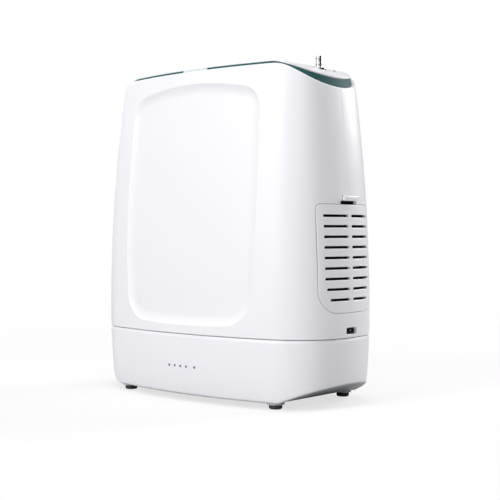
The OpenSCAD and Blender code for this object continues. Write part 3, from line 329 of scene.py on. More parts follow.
def inside(points, loops):
    # which points lie inside the outer loop and outside its holes
    found = np.zeros(len(points), bool)
    for loop in loops:
        a, b = loop, np.roll(loop, -1, 0)
        rise = b[:, 1] - a[:, 1]
        slope = (b[:, 0] - a[:, 0]) / np.where(rise == 0, 1.0, rise)
        for start in range(0, len(points), meshing["batch"]):
            some = slice(start, start + meshing["batch"])
            p = points[some]
            crosses = (a[None, :, 1] > p[:, None, 1]) != (b[None, :, 1] > p[:, None, 1])
            at = a[None, :, 0] + (p[:, None, 1] - a[None, :, 1]) * slope[None, :]
            found[some] ^= (np.sum(crosses & (p[:, None, 0] < at), 1) % 2).astype(bool)
    return found


def staggered(low, high, size):
    # rows of points, every other row shifted by half a step
    rows = np.arange(low[1] + size / 2, high[1], size * meshing["rowShare"])
    columns = np.arange(low[0] + size / 2, high[0], size)
    return np.concatenate([np.stack([columns + (i % 2) * size / 2, np.full(len(columns), row)], -1)
                           for i, row in enumerate(rows)] or [np.zeros((0, 2))])


def gridPoints(border, step, fine):
    # points for the inside of a face, each with the distance that it keeps from the outline
    low, high = border.min(0), border.max(0)
    points = staggered(low, high, step)
    if fine is None:
        return points, np.full(len(points), step * meshing["apartShare"])
    fineStep, isFine, extra = fine
    finer = staggered(low, high, fineStep)
    finer, points = np.concatenate([finer[isFine(finer)], extra]), points[~isFine(points)]
    return np.concatenate([points, finer]), np.concatenate([
        np.full(len(points), step * meshing["apartShare"]),
        np.full(len(finer), fineStep * meshing["apartShare"])])


def fillFace(loops, step, fine=None):
    # triangles over an outline with holes, on its own points and staggered ones inside it
    border = np.concatenate(loops)
    points, apart = gridPoints(border, step, fine)
    keep = inside(points, loops)
    points, apart = points[keep], apart[keep]
    tree = KDTree(len(border))
    for i, p in enumerate(border):
        tree.insert((p[0], p[1], 0), i)
    tree.balance()
    if len(points):
        points = points[np.array([tree.find((p[0], p[1], 0))[2] for p in points]) > apart]
    rims, start = [], 0
    for loop in loops:
        rims += [(start + i, start + (i + 1) % len(loop)) for i in range(len(loop))]
        start += len(loop)
    flat = [Vector((p[0], p[1])) for p in np.concatenate([border, points])]
    made = delaunay_2d_cdt(flat, rims, [], 0, meshing["joinWithin"])
    verts = np.array([tuple(v) for v in made[0]])
    source = np.array([min(origins) if len(origins) else -1 for origins in made[3]])
    faces = np.array([face for face in made[2] if len(face) == 3])
    faces = faces[inside(verts[faces].mean(1), loops)]
    a, b, c = verts[faces[:, 0]], verts[faces[:, 1]], verts[faces[:, 2]]
    wrong = (b[:, 0] - a[:, 0]) * (c[:, 1] - a[:, 1]) < (b[:, 1] - a[:, 1]) * (c[:, 0] - a[:, 0])
    faces[wrong] = faces[wrong][:, ::-1]
    source[source >= len(border)] = -1
    return verts, faces, source


def addMesh(name, verts, faces, normals=None):
    mesh = bpy.data.meshes.new(name)
    mesh.from_pydata((np.asarray(verts) * mm).tolist(), [], [tuple(map(int, face)) for face in faces])
    mesh.update()
    mesh.polygons.foreach_set("use_smooth", [True] * len(mesh.polygons))
    if normals is not None:
        mesh.normals_split_custom_set_from_vertices(np.asarray(normals).tolist())
    piece = bpy.data.objects.new(name, mesh)
    bpy.context.scene.collection.objects.link(piece)
    return piece


def unit(vectors):
    return vectors / np.maximum(np.linalg.norm(vectors, axis=-1, keepdims=True), meshing["shortest"])


def slopes(place, a, b, depth):
    # the face's normal and its two directions at some points
    step = meshing["slopeStep"]
    alongA = place(a + step, b, depth) - place(a - step, b, depth)
    alongB = place(a, b + step, depth) - place(a, b - step, depth)
    return unit(np.cross(alongA, alongB)), alongA, alongB


def skin(name, place, edges, step, fine=None, openAt=None):
    # a walled piece: a face with rounded edges, walls that go down from them in steps, and a back.
    # place(a, b, depth) bends it to shape; an edge is an outline with a radius at each point, and its wall's
    # steps of inset and depth; where openAt holds at both ends of a stretch, there is no wall
    verts, normals, faces = [], [], []

    def addRing(points, normal):
        verts.append(points)
        normals.append(normal)
        return sum(len(part) for part in verts[:-1])

    def bridge(first, second, flat):
        for i in range(len(flat)):
            j = (i + 1) % len(flat)
            if openAt is None or not (openAt(flat[i]) and openAt(flat[j])):
                faces.append((first + i, second + i, second + j, first + j))

    def cover(loops, starts, depth, isBack, size, finer):
        made, triangles, source = fillFace(loops, size, finer)
        sizes = np.cumsum([0] + [len(loop) for loop in loops])
        index = np.zeros(len(made), int)
        for k, begin in enumerate(starts):
            mine = (source >= sizes[k]) & (source < sizes[k + 1])
            index[mine] = begin + source[mine] - sizes[k]
        free = source < 0
        if free.any():
            a, b, deep = made[free][:, 0], made[free][:, 1], np.full(np.sum(free), depth)
            normal = slopes(place, a, b, deep)[0]
            begin = addRing(place(a, b, deep), -normal if isBack else normal)
            index[free] = begin + np.arange(len(a))
        for face in index[triangles]:
            faces.append(tuple(face[::-1]) if isBack else tuple(face))

    fronts, frontStarts, backs, backStarts = [], [], [], []
    for number, (outline, steps) in enumerate(edges):
        flat = outline[:, :2]
        area = np.sum(flat[:, 0] * np.roll(flat[:, 1], -1) - np.roll(flat[:, 0], -1) * flat[:, 1])
        if (area > 0) != (number == 0):
            outline = outline[::-1]
        flat, radius = outline[:, :2], outline[:, 2]
        along = unit(unit(np.roll(flat, -1, 0) - flat) + unit(flat - np.roll(flat, 1, 0)))
        out = np.stack([along[:, 1], -along[:, 0]], -1)
        for k in range(meshing["edgeSteps"] + 1):
            turn = pi / (2 * meshing["edgeSteps"]) * k
            at = flat - out * (radius * (1 - sin(turn)))[:, None]
            depth = radius * (1 - cos(turn))
            face, alongA, alongB = slopes(place, at[:, 0], at[:, 1], depth)
            side = alongA * out[:, :1] + alongB * out[:, 1:]
            side = unit(side - face * np.sum(side * face, 1, keepdims=True))
            start = addRing(place(at[:, 0], at[:, 1], depth), face * cos(turn) + side * sin(turn))
            if k == 0:
                fronts.append(at)
                frontStarts.append(start)
            else:
                bridge(last, start, flat)
            last = start
        at, lastInset, lastDepth = flat, 0.0, radius
        for inset, depth in steps:
            deep = np.full(len(flat), float(depth))
            normal = unit(face * (lastInset - inset) + side * (deep - lastDepth)[:, None])
            first = addRing(place(at[:, 0], at[:, 1], lastDepth), normal)
            at, lastInset, lastDepth = flat - out * inset, inset, deep
            bridge(first, addRing(place(at[:, 0], at[:, 1], deep), normal), flat)
        backs.append(at)
        backStarts.append(addRing(place(at[:, 0], at[:, 1], lastDepth), -face))
    cover(fronts, frontStarts, 0.0, False, step, fine)
    cover(backs, backStarts, float(lastDepth[0]), True, step * meshing["backCoarser"], None)
    return addMesh(name, np.concatenate(verts), faces, np.concatenate(normals))


def finishPiece(piece, material, body, slot, *nodes):
    piece.data.materials.append(material)
    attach(piece, body)
    if nodes:
        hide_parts(*nodes)
    return piece


def turned(centre, profile, count=96):
    # a turned piece's verts and faces, from its profile of (radius, height)
    turns = np.linspace(0, 2 * pi, count, endpoint=False)
    verts, faces = [], []
    for r, height in profile:
        verts.append(np.stack([r * np.cos(turns), r * np.sin(turns), np.full(count, height)], -1))
    for k in range(len(profile) - 1):
        for i in range(count):
            j = (i + 1) % count
            faces.append((k * count + i, k * count + j, (k + 1) * count + j, (k + 1) * count + i))
    return np.concatenate(verts) + np.array(centre), faces


def joined(name, parts, sharpDegrees=30):
    # several meshes as one piece, with edges over the given angle kept sharp
    verts, faces, start = [], [], 0
    for someVerts, someFaces in parts:
        verts.append(someVerts)
        faces += [tuple(i + start for i in face) for face in someFaces]
        start += len(someVerts)
    piece = addMesh(name, np.concatenate(verts), faces)
    whole = bmesh.new()
    whole.from_mesh(piece.data)
    bmesh.ops.remove_doubles(whole, verts=whole.verts, dist=meshing["weldWithin"] * mm)
    bmesh.ops.recalc_face_normals(whole, faces=whole.faces)
    whole.to_mesh(piece.data)
    whole.free()
    piece.data.polygons.foreach_set("use_smooth", [True] * len(piece.data.polygons))
    piece.data.set_sharp_from_angle(angle=radians(sharpDegrees))
    return piece


def softBox(low, high, radius, segments=3):
    # a box with rounded edges, as verts and faces in mm
    block = bmesh.new()
    made = bmesh.ops.create_cube(block, size=1.0)
    size, middle = np.array(high) - np.array(low), (np.array(high) + np.array(low)) / 2
    for corner in made["verts"]:
        corner.co = Vector(tuple(np.array(corner.co) * size + middle))
    bmesh.ops.bevel(block, geom=block.edges[:], offset=radius, segments=segments, profile=0.5, affect="EDGES")
    verts = np.array([tuple(corner.co) for corner in block.verts])
    faces = [tuple(corner.index for corner in face.verts) for face in block.faces]
    block.free()
    return verts, faces


# the front and rear housing shells
shells = {"seamZ": 48.4, "wall": 2.6, "rimRadius": 1.2, "seamRadius": 0.5, "partingRadius": 0.22,
          "holeRadius": 0.35, "ventGap": 0.27, "seamStep": 2.0, "partingStep": 1.6, "rimCount": 240,
          "grid": 3.2}
vent = {"halfWidth": 29.5, "low": 65.7, "high": 139.8, "lowR": 15.0, "highR": 3.5}
port = {"halfWidth": 5.8, "halfHeight": 2.35, "z": 53.0, "r": 1.4, "cornerCount": 5}
tabNotch = {"low": (9.1, 142.4), "high": (7.3, 145.85)}  # half width and top of its two steps

# the sunk front panel: below and above waistZ its half width shrinks by so many mm over so many mm of height;
# the mesh is finer from so far inside its edge to so far outside, but for the crease along the edge itself
recess = {"half": 64.3, "waistZ": 140, "below": (3.3, 70), "above": (1.6, 68), "low": 54.6, "lowR": 690,
          "high": 227, "highR": 258, "lowCornerR": 18, "highCornerR": 12, "depth": 2.1, "bevel": 7.5,
          "creaseHalf": 0.08, "fineInside": 8.5, "fineOutside": 1.5, "fineClear": 0.5, "fineGrid": 1.0,
          "points": 900, "farthest": 110.0, "halvings": 40}


def roundMax(a, b, r):
    return np.minimum(np.maximum(a, b), -r) + np.hypot(np.maximum(a + r, 0), np.maximum(b + r, 0))


def recessDistance(x, z):
    # distance outwards from the edge of the sunk front panel: an arched top, drawn-in sides and a curved sill
    up = z - recess["waistZ"]
    (belowBy, belowOver), (aboveBy, aboveOver) = recess["below"], recess["above"]
    half = recess["half"] - np.where(up < 0, belowBy * (up / belowOver) ** 2, aboveBy * (up / aboveOver) ** 2)
    low = recess["low"] + x ** 2 / (2 * recess["lowR"])
    high = recess["high"] - x ** 2 / (2 * recess["highR"])
    lowPart = roundMax(np.abs(x) - half, low - z, recess["lowCornerR"])
    return roundMax(lowPart, z - high, recess["highCornerR"])


def frontPlace(u, z, depth):
    x = (shape["frontR"] - bow(z)) * np.sin(np.clip(u, -frontRun, frontRun) / shape["frontR"])
    level = 1 - np.clip(-recessDistance(x, z) / recess["bevel"], 0, 1)
    sunk = recess["depth"] * (1 - level ** 2)
    return onSkin(u, z, depth + np.where(np.abs(u) < frontRun, sunk, 0))


def recessRing(away):
    # points on the front a given distance outside the recess's edge, found by halving the stretch they lie in
    turns = np.linspace(0, 2 * pi, recess["points"], endpoint=False)
    near, far = np.zeros(len(turns)), np.full(len(turns), recess["farthest"])
    for _ in range(recess["halvings"]):
        reach = (near + far) / 2
        beyond = recessDistance(reach * np.cos(turns), recess["waistZ"] + reach * np.sin(turns)) > away
        near, far = np.where(beyond, near, reach), np.where(beyond, reach, far)
    x, z = near * np.cos(turns), recess["waistZ"] + near * np.sin(turns)
    return np.stack([shape["frontR"] * np.arcsin(x / (shape["frontR"] - bow(z))), z], -1)


def nearRecess(points):
    away = recessDistance(points[:, 0], points[:, 1])
    isClose = (away > -recess["fineInside"]) & (away < recess["fineOutside"])
    return isClose & (np.abs(away) > recess["fineClear"])


def halfHoles():
    # the port, the vent and the tab's notch, as cut by the parting plane, from the bottom up
    portLow, portHigh = port["z"] - port["halfHeight"], port["z"] + port["halfHeight"]
    portHole = rounded(port["halfWidth"], portLow, portHigh, port["r"], port["r"], port["cornerCount"])
    slip = shells["ventGap"]
    ventLow, ventHigh = vent["low"] - slip, vent["high"] + slip
    ventHole = rounded(vent["halfWidth"] + slip, ventLow, ventHigh, vent["lowR"] + slip, vent["highR"] + slip)
    path = []
    for hole, low, high in ((portHole, portLow, portHigh), (ventHole, ventLow, ventHigh)):
        left = hole[hole[:, 0] < 0]
        left = left[np.argsort(np.arctan2(left[:, 0], -(left[:, 1] - np.mean((low, high)))))[::-1]]
        left = left if left[0, 1] < left[-1, 1] else left[::-1]
        path += [[(0, low)], left, [(0, high)]]
    (lowHalf, lowTop), (highHalf, highTop) = tabNotch["low"], tabNotch["high"]
    notch = [(-lowHalf, ventHigh), (-lowHalf, lowTop), (-highHalf, lowTop), (-highHalf, highTop),
             (0, highTop)]
    return np.concatenate(path[:-1] + [notch])


def shellOutline():
    # one shell seen from outside: along the seam, up the right parting edge, back along the rim and down
    seamZ, topZ = shells["seamZ"], float(heightAt(np.array([quarter]), 0, edgeTop)[0])
    seam = np.array([(-quarter, seamZ, shells["seamRadius"]), (quarter, seamZ, shells["seamRadius"])])
    parting = [(quarter, seamZ, shells["partingRadius"])]
    for y, z in halfHoles():
        radius = shells["holeRadius"] if y < -meshing["onPlane"] else shells["partingRadius"]
        parting.append((uOnSide(y, z)[0], z, radius))
    parting.append((quarter, topZ, shells["partingRadius"]))
    parting = resampled(np.array(parting), shells["partingStep"], False)
    across = np.linspace(quarter, -quarter, shells["rimCount"])
    rim = withRadius(np.column_stack([across, heightAt(across, 0, edgeTop)]), shells["rimRadius"])
    back = parting[::-1] * np.array([-1, 1, 1])
    return np.concatenate([resampled(seam, shells["seamStep"], False), parting, rim, back[:-1]])


frontOutline = shellOutline()
rearOutline = frontOutline + np.array([2 * quarter, 0, 0])
wallSteps = [(0.0, shells["wall"])]
crease = np.concatenate([recessRing(away) for away in (-recess["creaseHalf"], recess["creaseHalf"])])
finishPiece(skin("housing_front", frontPlace, [(frontOutline, wallSteps)], shells["grid"],
                 (recess["fineGrid"], nearRecess, crease)),
            whiteAbs, "housing", "white_plastic", "front_shell")
finishPiece(skin("housing_rear", onSkin, [(rearOutline, wallSteps)], shells["grid"]),
            whiteAbs, "housing", "white_plastic", "rear_shell")
print("housing shells made")

# vent covers: curved louvres in nine rows, each row split by a bar; under curveZ the rows get shorter
louvres = {"firstZ": 132.0, "pitch": 7.15, "rows": 9, "halfHeight": 0.9, "end": 24.6, "bar": 1.8,
           "curveZ": 92.3, "curveR": 40, "edge": 0.15, "sill": 0.6, "lip": 1.2, "relief": 0.6, "thick": 2.4,
           "rim": 0.5, "endShare": 0.7, "endCount": 4, "step": 1.6, "grid": 2.4}


def smoothStep(share):
    share = np.clip(share, 0, 1)
    return share * share * (3 - 2 * share)


def sideLoop(points, side, radius):
    u = uOnSide(points[:, 0], points[:, 1])
    return np.column_stack([side * u, points[:, 1], radius + 0 * u])


def ventCover(name, side, body):
    high = louvres["halfHeight"]
    border = rounded(vent["halfWidth"], vent["low"], vent["high"], vent["lowR"], vent["highR"])
    edges = [(sideLoop(resampled(border, louvres["step"]), side, louvres["rim"]), [(0.0, louvres["thick"])])]
    slotWall = [(0.0, louvres["lip"]), (louvres["relief"], louvres["lip"]),
                (louvres["relief"], louvres["thick"])]
    for row in range(louvres["rows"]):
        z = louvres["firstZ"] - row * louvres["pitch"]
        fall = max(0, louvres["curveZ"] - z)
        end = louvres["end"] - louvres["curveR"] + sqrt(louvres["curveR"] ** 2 - fall ** 2)
        half = (end - louvres["bar"]) / 2
        endR = high * louvres["endShare"]
        for way in (-1, 1):
            slot = rounded(half, z - high, z + high, endR, endR, louvres["endCount"])
            slot = resampled(slot + np.array([way * (louvres["bar"] + half), 0]), louvres["step"])
            sill = (louvres["sill"] - louvres["edge"]) * smoothStep((z - slot[:, 1]) / high)
            edges.append((sideLoop(slot, side, louvres["edge"] + sill), slotWall))
    finishPiece(skin(name, onSkin, edges, louvres["grid"]), whiteAbs, body, "white_plastic", body)


ventCover("louvred_cover_right", 1, "intake_cover")
ventCover("louvred_cover_left", -1, "exhaust_cover")
print("vent covers made")

# release tabs: a rounded grip outside the wall, on a neck that ends in a carrier behind it
tabs = {"face": 106.452, "out": 2.4, "gripGap": 0.3, "gripRound": 0.9, "gripSegments": 4, "halfWidth": 8.5,
        "low": 142.4, "high": 145.9, "neckHalf": 7.0, "neckTop": 143.6, "neckOut": 1.2, "neckRound": 0.15,
        "carrierFace": 102.347, "carrierThick": 1.6, "carrierHalf": 10.5, "carrierHigh": 148.2,
        "carrierRound": 0.2, "sharp": 50}


def tabGrip(name, side, body):
    outside, behind = tabs["face"], tabs["carrierFace"] - tabs["carrierThick"]
    grip = softBox((outside + tabs["gripGap"], -tabs["halfWidth"], tabs["low"]),
                   (outside + tabs["out"], tabs["halfWidth"], tabs["high"]),
                   tabs["gripRound"], tabs["gripSegments"])
    neck = softBox((behind, -tabs["neckHalf"], tabs["low"]),
                   (outside + tabs["neckOut"], tabs["neckHalf"], tabs["neckTop"]), tabs["neckRound"], 1)
    carrier = softBox((behind, -tabs["carrierHalf"], tabs["low"]),
                      (tabs["carrierFace"], tabs["carrierHalf"], tabs["carrierHigh"]),
                      tabs["carrierRound"], 1)
    parts = [(verts * np.array([side, 1, 1]), [face[::side] for face in faces])
             for verts, faces in (grip, neck, carrier)]
    finishPiece(joined(name, parts, tabs["sharp"]), whiteAbs, body, "white_plastic", body)


tabGrip("intake_tab_grip", 1, "intake_tab")
tabGrip("exhaust_tab_grip", -1, "exhaust_tab")
print("release tabs made")

# the teal trim ring under the top panel and the pale light bar in the middle of its front
trim = {"inset": 2.75, "thick": 2.0, "hidden": 5.0, "below": 1.15, "rimRadius": 0.35, "count": 420,
        "grid": 3.0, "lightHalf": 12.5, "lightHigh": 4.0, "gap": 0.15, "notchRadius": 0.1, "notchClear": 0.6,
        "notchStep": 1.5, "lightCorner": 0.3, "lightCount": 3, "lightStep": 1.2, "lightRadius": 0.25,
        "lightGrid": 2.0}
backSeam = 2 * quarter  # a ring round the whole housing is cut open at the middle of the back


def trimPlace(u, z, depth):
    return onSkin(u, z, depth + trim["inset"])


def atBackSeam(point):
    return abs(point[0]) > backSeam - meshing["onPlane"]


def trimOutline():
    # along the hidden lower edge and back along the upper one, which drops round the light bar
    across = np.linspace(-backSeam, backSeam, trim["count"])
    rim = withRadius(np.column_stack([across, heightAt(across, trim["inset"], panelTop, trim["below"])]),
                     trim["rimRadius"])
    notch = trim["lightHalf"] + trim["gap"]
    rim = rim[np.abs(rim[:, 0]) > notch + trim["notchClear"]]
    notchZ = lightTop - trim["lightHigh"] - trim["gap"]
    cut = np.array([(-notch, lightTop, trim["rimRadius"]), (-notch, notchZ, trim["notchRadius"]),
                    (notch, notchZ, trim["notchRadius"]), (notch, lightTop, trim["rimRadius"])])
    rim = np.concatenate([rim[rim[:, 0] < 0], resampled(cut, trim["notchStep"], False), cut[-1:],
                          rim[rim[:, 0] > 0]])
    rim[0, 2] = rim[-1, 2] = 0
    low = np.column_stack([across, heightAt(across, trim["inset"], edgeTop, trim["hidden"])])
    return np.concatenate([withRadius(low, 0), rim[::-1]])


lightTop = shape["panelZ"] - trim["below"]
light = rounded(trim["lightHalf"], lightTop - trim["lightHigh"], lightTop, trim["lightCorner"],
                trim["lightCorner"], trim["lightCount"])
light = withRadius(resampled(light, trim["lightStep"]), trim["lightRadius"])
finishPiece(skin("teal_trim", trimPlace, [(trimOutline(), [(0.0, trim["thick"])])], trim["grid"],
                 openAt=atBackSeam),
            trimAbs, "housing", "green_plastic", "accent_trim")
finishPiece(skin("light_bar", trimPlace, [(light, [(0.0, trim["thick"])])], trim["lightGrid"]),
            milkyGuide, "housing", "light_bar", "status_light")
print("trim and light bar made")

# the top panel falls away at both shoulders; its window, keys, indicator and outlet stand in holes
top = {"edge": 0.45, "lip": 1.15, "plugInset": 2.15, "thick": 2.5, "count": 420, "grid": 3.0,
       "holeRadius": 0.25, "holeStep": 1.2}
glass = {"x": -23.98, "halfWidth": 27.0, "halfDepth": 13.0, "r": 1.5, "cornerCount": 6, "thick": 1.5,
         "gap": 0.15, "edge": 0.3, "step": 1.5, "grid": 4.0}
# each key's place across and in depth, and its radius
keys = {"power_button": (38.041, 0, 7.5), "flow_up_button": (16.023, 9, 4.8),
        "flow_down_button": (16.023, -9, 4.8), "mute_button": (57.007, 0, 4.8)}
keyShape = {"slip": 0.3, "rise": 0.6, "skirt": 0.4, "flange": 1.0, "flangeThick": 1.0, "dishIn": 1.0,
            "dishDeep": 0.5, "dishRise": 0.35, "dishStart": 0.02, "dishPoints": 10, "round": 0.65,
            "roundTurns": (-15, 15, 40, 65, 90), "axis": 0.05, "count": 72, "sharp": 25, "markDeep": 0.42,
            "markHigh": 0.08, "markUnder": 0.25}
outlet = {"x": 80.0, "seat": 235.3, "flange": 5.0, "flangeHigh": 0.7, "flangeRound": 0.35, "flangeGap": 0.3,
          "flangeChamfer": 0.1, "high": 9.28, "bore": 1.1, "boreRound": 0.3, "neck": 2.1, "fillet": 0.5,
          "filletMiddle": 0.15, "barb": 2.6, "barbHigh": 2.1, "barbGap": 0.1, "barbFoot": 0.15,
          "barbChamfer": (0.08, 0.02, 0.12), "barbFall": 1.1, "barbIn": 0.45, "barbCurve": 1.6,
          "barbShares": (0.2, 0.4, 0.6, 0.8, 1.0), "thread": 3.9, "end": 224.532, "sharp": 28}
lens = {"x": 82.0, "y": 15.0, "r": 1.2, "gap": 0.1, "proud": 0.4, "dome": 0.5, "deep": 3.9, "axis": 0.03,
        "turns": (20, 40, 60, 75, 90), "holeCount": 24, "count": 32, "sharp": 30}


def panelPlace(x, y, depth):
    return np.stack([x + 0 * depth, y + 0 * depth, panelTop(x) - depth], -1)


def flatPlace(x, y, depth):
    return np.stack([x + 0 * depth, y + 0 * depth, shape["panelZ"] - depth + 0 * x], -1)


def glassOutline(gap):
    halfDepth = glass["halfDepth"] + gap
    return rounded(glass["halfWidth"] + gap, -halfDepth, halfDepth, glass["r"], glass["r"],
                   glass["cornerCount"])


around = np.linspace(0, 4 * quarter, top["count"], endpoint=False)
panelEdge = onSkin(around, heightAt(around, trim["inset"], panelTop), trim["inset"])[:, :2]
edges = [(withRadius(panelEdge, top["edge"]), [(0.0, top["lip"]), (top["plugInset"], top["lip"]),
                                               (top["plugInset"], top["thick"])])]
glassShift = np.array([glass["x"], 0])
holes = [glassOutline(glass["gap"]) + glassShift]
holes += [ring(x, y, r + keyShape["slip"]) for x, y, r in keys.values()]
holes += [ring(outlet["x"], 0, outlet["flange"] + outlet["flangeGap"]),
          ring(lens["x"], lens["y"], lens["r"] + lens["gap"], lens["holeCount"])]
edges += [(withRadius(resampled(hole, top["holeStep"]), top["holeRadius"]), [(0.0, top["thick"])])
          for hole in holes]
finishPiece(skin("top_cover", panelPlace, edges, top["grid"]),
            whiteAbs, "housing", "white_plastic", "top_panel")
window = withRadius(resampled(glassOutline(0), glass["step"]) + glassShift, glass["edge"])
finishPiece(skin("display_glass", flatPlace, [(window, [(0.0, glass["thick"])])], glass["grid"]),
            tintedAcrylic, "housing", "window_plastic", "display_window")


def stroke(path, width):
    # outline of a line of even width along a path
    path = np.array(path, float)
    along = unit(np.gradient(path, axis=0))
    out = np.stack([along[:, 1], -along[:, 0]], -1) * width / 2
    return np.concatenate([path - out, (path + out)[::-1]])


def arcPath(centreX, centreY, r, start, end, count=24):
    turns = np.radians(np.linspace(start, end, count))
    return np.stack([centreX + r * np.cos(turns), centreY + r * np.sin(turns)], -1)


def slab(outline, low, high):
    # a thin flat mark with upright sides, from the outline of a stroke
    count = len(outline)
    half = count // 2
    verts = np.concatenate([withRadius(outline, low), withRadius(outline, high)])
    faces = [(i, (i + 1) % count, count + (i + 1) % count, count + i) for i in range(count)]
    faces += [(count + i, count + i + 1, 2 * count - 2 - i, 2 * count - 1 - i) for i in range(half - 1)]
    return verts, faces


# the display shows a plain number 2 in seven-segment strokes, and four bars that grow to the right
display = {"lit": "abged", "x": -32, "y": -6, "wide": 6.5, "high": 12, "stroke": 1.3, "gapShare": 0.6,
           "barsX": (-16, -12, -8, -4), "barsLow": -5, "barsHigh": 1, "barsGrow": 1.6, "barWide": 2.2,
           "under": 0.05, "over": 0.04}


def numberStrokes():
    wide, high, half = display["wide"], display["high"], display["high"] / 2
    corners = {"a": ((0, high), (wide, high)), "b": ((wide, high), (wide, half)),
               "c": ((wide, half), (wide, 0)), "d": ((wide, 0), (0, 0)), "e": ((0, 0), (0, half)),
               "f": ((0, half), (0, high)), "g": ((0, half), (wide, half))}
    marks = []
    for name in display["lit"]:
        a, b = (np.array(corner) + (display["x"], display["y"]) for corner in corners[name])
        inwards = unit(b - a) * display["stroke"] * display["gapShare"]
        marks.append(stroke([a + inwards, b - inwards], display["stroke"]))
    return marks


marks = numberStrokes()
marks += [stroke([(x, display["barsLow"]), (x, display["barsHigh"] + i * display["barsGrow"])],
                 display["barWide"]) for i, x in enumerate(display["barsX"])]
glassTop = shape["panelZ"]
# the display's lit segments carry the painted glow: a pale colour, with no light of their own
finishPiece(joined("display_marks", [slab(mark, glassTop - display["under"], glassTop + display["over"])
                                     for mark in marks]), paintedDisplayGlow, "housing", "light_bar")


def keyTop(x, y, r):
    # a dished key on a skirt that ends in a flange under the panel
    high, low = shape["panelZ"] + keyShape["rise"], shape["panelZ"] - top["thick"] - keyShape["skirt"]
    bottom, flange, rounding = low - keyShape["flangeThick"], r + keyShape["flange"], keyShape["round"]
    dish = [(share * (r - keyShape["dishIn"]),
             high - keyShape["dishDeep"] + keyShape["dishRise"] * share ** 2)
            for share in np.linspace(keyShape["dishStart"], 1, keyShape["dishPoints"])]
    rim = [(r - rounding + rounding * sin(a), high - rounding + rounding * cos(a))
           for a in np.radians(keyShape["roundTurns"])]
    profile = dish + rim + [(r, low), (flange, low), (flange, bottom), (keyShape["axis"], bottom)]
    return turned((x, y, 0), profile[::-1], keyShape["count"])


# each key's printed sign: the width of its lines and their paths
keyMarks = {"power_button": (0.6, [arcPath(0, 0, 2.9, 120, 420), [(0, 1.0), (0, 3.6)]]),
            "flow_up_button": (0.6, [[(-1.8, 0), (1.8, 0)], [(0, 0.3), (0, 1.8)], [(0, -0.3), (0, -1.8)]]),
            "flow_down_button": (0.6, [[(-1.8, 0), (1.8, 0)]]),
            "mute_button": (0.5, [[(-1.5, -1.1), (1.5, -1.1)], arcPath(0, 0.1, 1.15, 0, 180),
                                  [(-1.15, 0.1), (-1.4, -0.85)], [(1.15, 0.1), (1.4, -0.85)],
                                  [(-0.4, -1.75), (0.4, -1.75)]])}
for name, (x, y, r) in keys.items():
    isPower = name == "power_button"
    material, slot = (trimAbs, "green_plastic") if isPower else (paleAbs, "light_plastic")
    ink, inkSlot = (keyInkPale, "light_bar") if isPower else (keyInkDark, "black_plastic")
    finishPiece(joined(name + "_cap", [keyTop(x, y, r)], keyShape["sharp"]), material, name, slot, name)
    level = shape["panelZ"] + keyShape["rise"] - keyShape["markDeep"]
    lineWidth, paths = keyMarks[name]
    symbols = [slab(stroke(path, lineWidth) + np.array([x, y]), level - keyShape["markUnder"],
                    level + keyShape["markHigh"]) for path in paths]
    finishPiece(joined(name + "_mark", symbols), ink, name, inkSlot)
print("top panel and keys made")


# the oxygen outlet: a turned flange and a nozzle with two barbs for the tubing
def barbAt(z):
    # a barb's sharp lower edge, its upright rim and its rounded upper slope
    barb, shoulderZ = outlet["barb"], z + outlet["barbHigh"] - outlet["barbFall"]
    cutIn, cutLow, cutHigh = outlet["barbChamfer"]
    rise = [(outlet["neck"] + outlet["barbFoot"], z), (barb - cutIn, z + cutLow), (barb, z + cutHigh),
            (barb, shoulderZ)]
    return rise + [(barb - outlet["barbIn"] * share ** outlet["barbCurve"],
                    shoulderZ + outlet["barbFall"] * share) for share in outlet["barbShares"]]


def nozzleProfile():
    seat, end, bore, thread = outlet["seat"], outlet["end"], outlet["bore"], outlet["thread"]
    flange, rounding, chamfer = outlet["flange"], outlet["flangeRound"], outlet["flangeChamfer"]
    neck, fillet, middle = outlet["neck"], outlet["fillet"], outlet["filletMiddle"]
    base, tip = seat + outlet["flangeHigh"], seat + outlet["high"]
    neckHigh = (outlet["high"] - outlet["flangeHigh"] - 2 * outlet["barbHigh"]) / 2
    lowBarb, highBarb = base + neckHigh, base + 2 * neckHigh + outlet["barbHigh"]
    foot = [(bore, end), (thread, end), (thread, seat), (flange, seat), (flange, base - rounding),
            (flange - chamfer, base - chamfer), (flange - rounding, base), (neck + fillet, base),
            (neck + middle, base + middle), (neck, base + fillet), (neck, lowBarb - outlet["barbGap"])]
    waist = [(neck, lowBarb + outlet["barbHigh"]), (neck, highBarb - outlet["barbGap"])]
    mouth = [(bore + outlet["boreRound"], tip), (bore, tip - outlet["boreRound"]), (bore, end)]
    return foot + barbAt(lowBarb) + waist + barbAt(highBarb) + mouth


finishPiece(joined("outlet_nozzle", [turned((outlet["x"], 0, 0), nozzleProfile())], outlet["sharp"]),
            nickelPlate, "housing", "plated_metal", "oxygen_outlet")


def lensDome():
    domeTop = float(panelTop(np.array([lens["x"]]))[0]) + lens["proud"]
    dome = [(lens["r"] * sin(a), domeTop - lens["dome"] * (1 - cos(a)))
            for a in np.radians(lens["turns"])]
    under = [(lens["r"], domeTop - lens["deep"]), (lens["axis"], domeTop - lens["deep"])]
    profile = [(lens["axis"], domeTop)] + dome + under
    return turned((lens["x"], lens["y"], 0), profile[::-1], lens["count"])


finishPiece(joined("indicator_dome", [lensDome()], lens["sharp"]),
            redAcrylic, "housing", "red_lens", "indicator_lens")
print("outlet and indicator made")

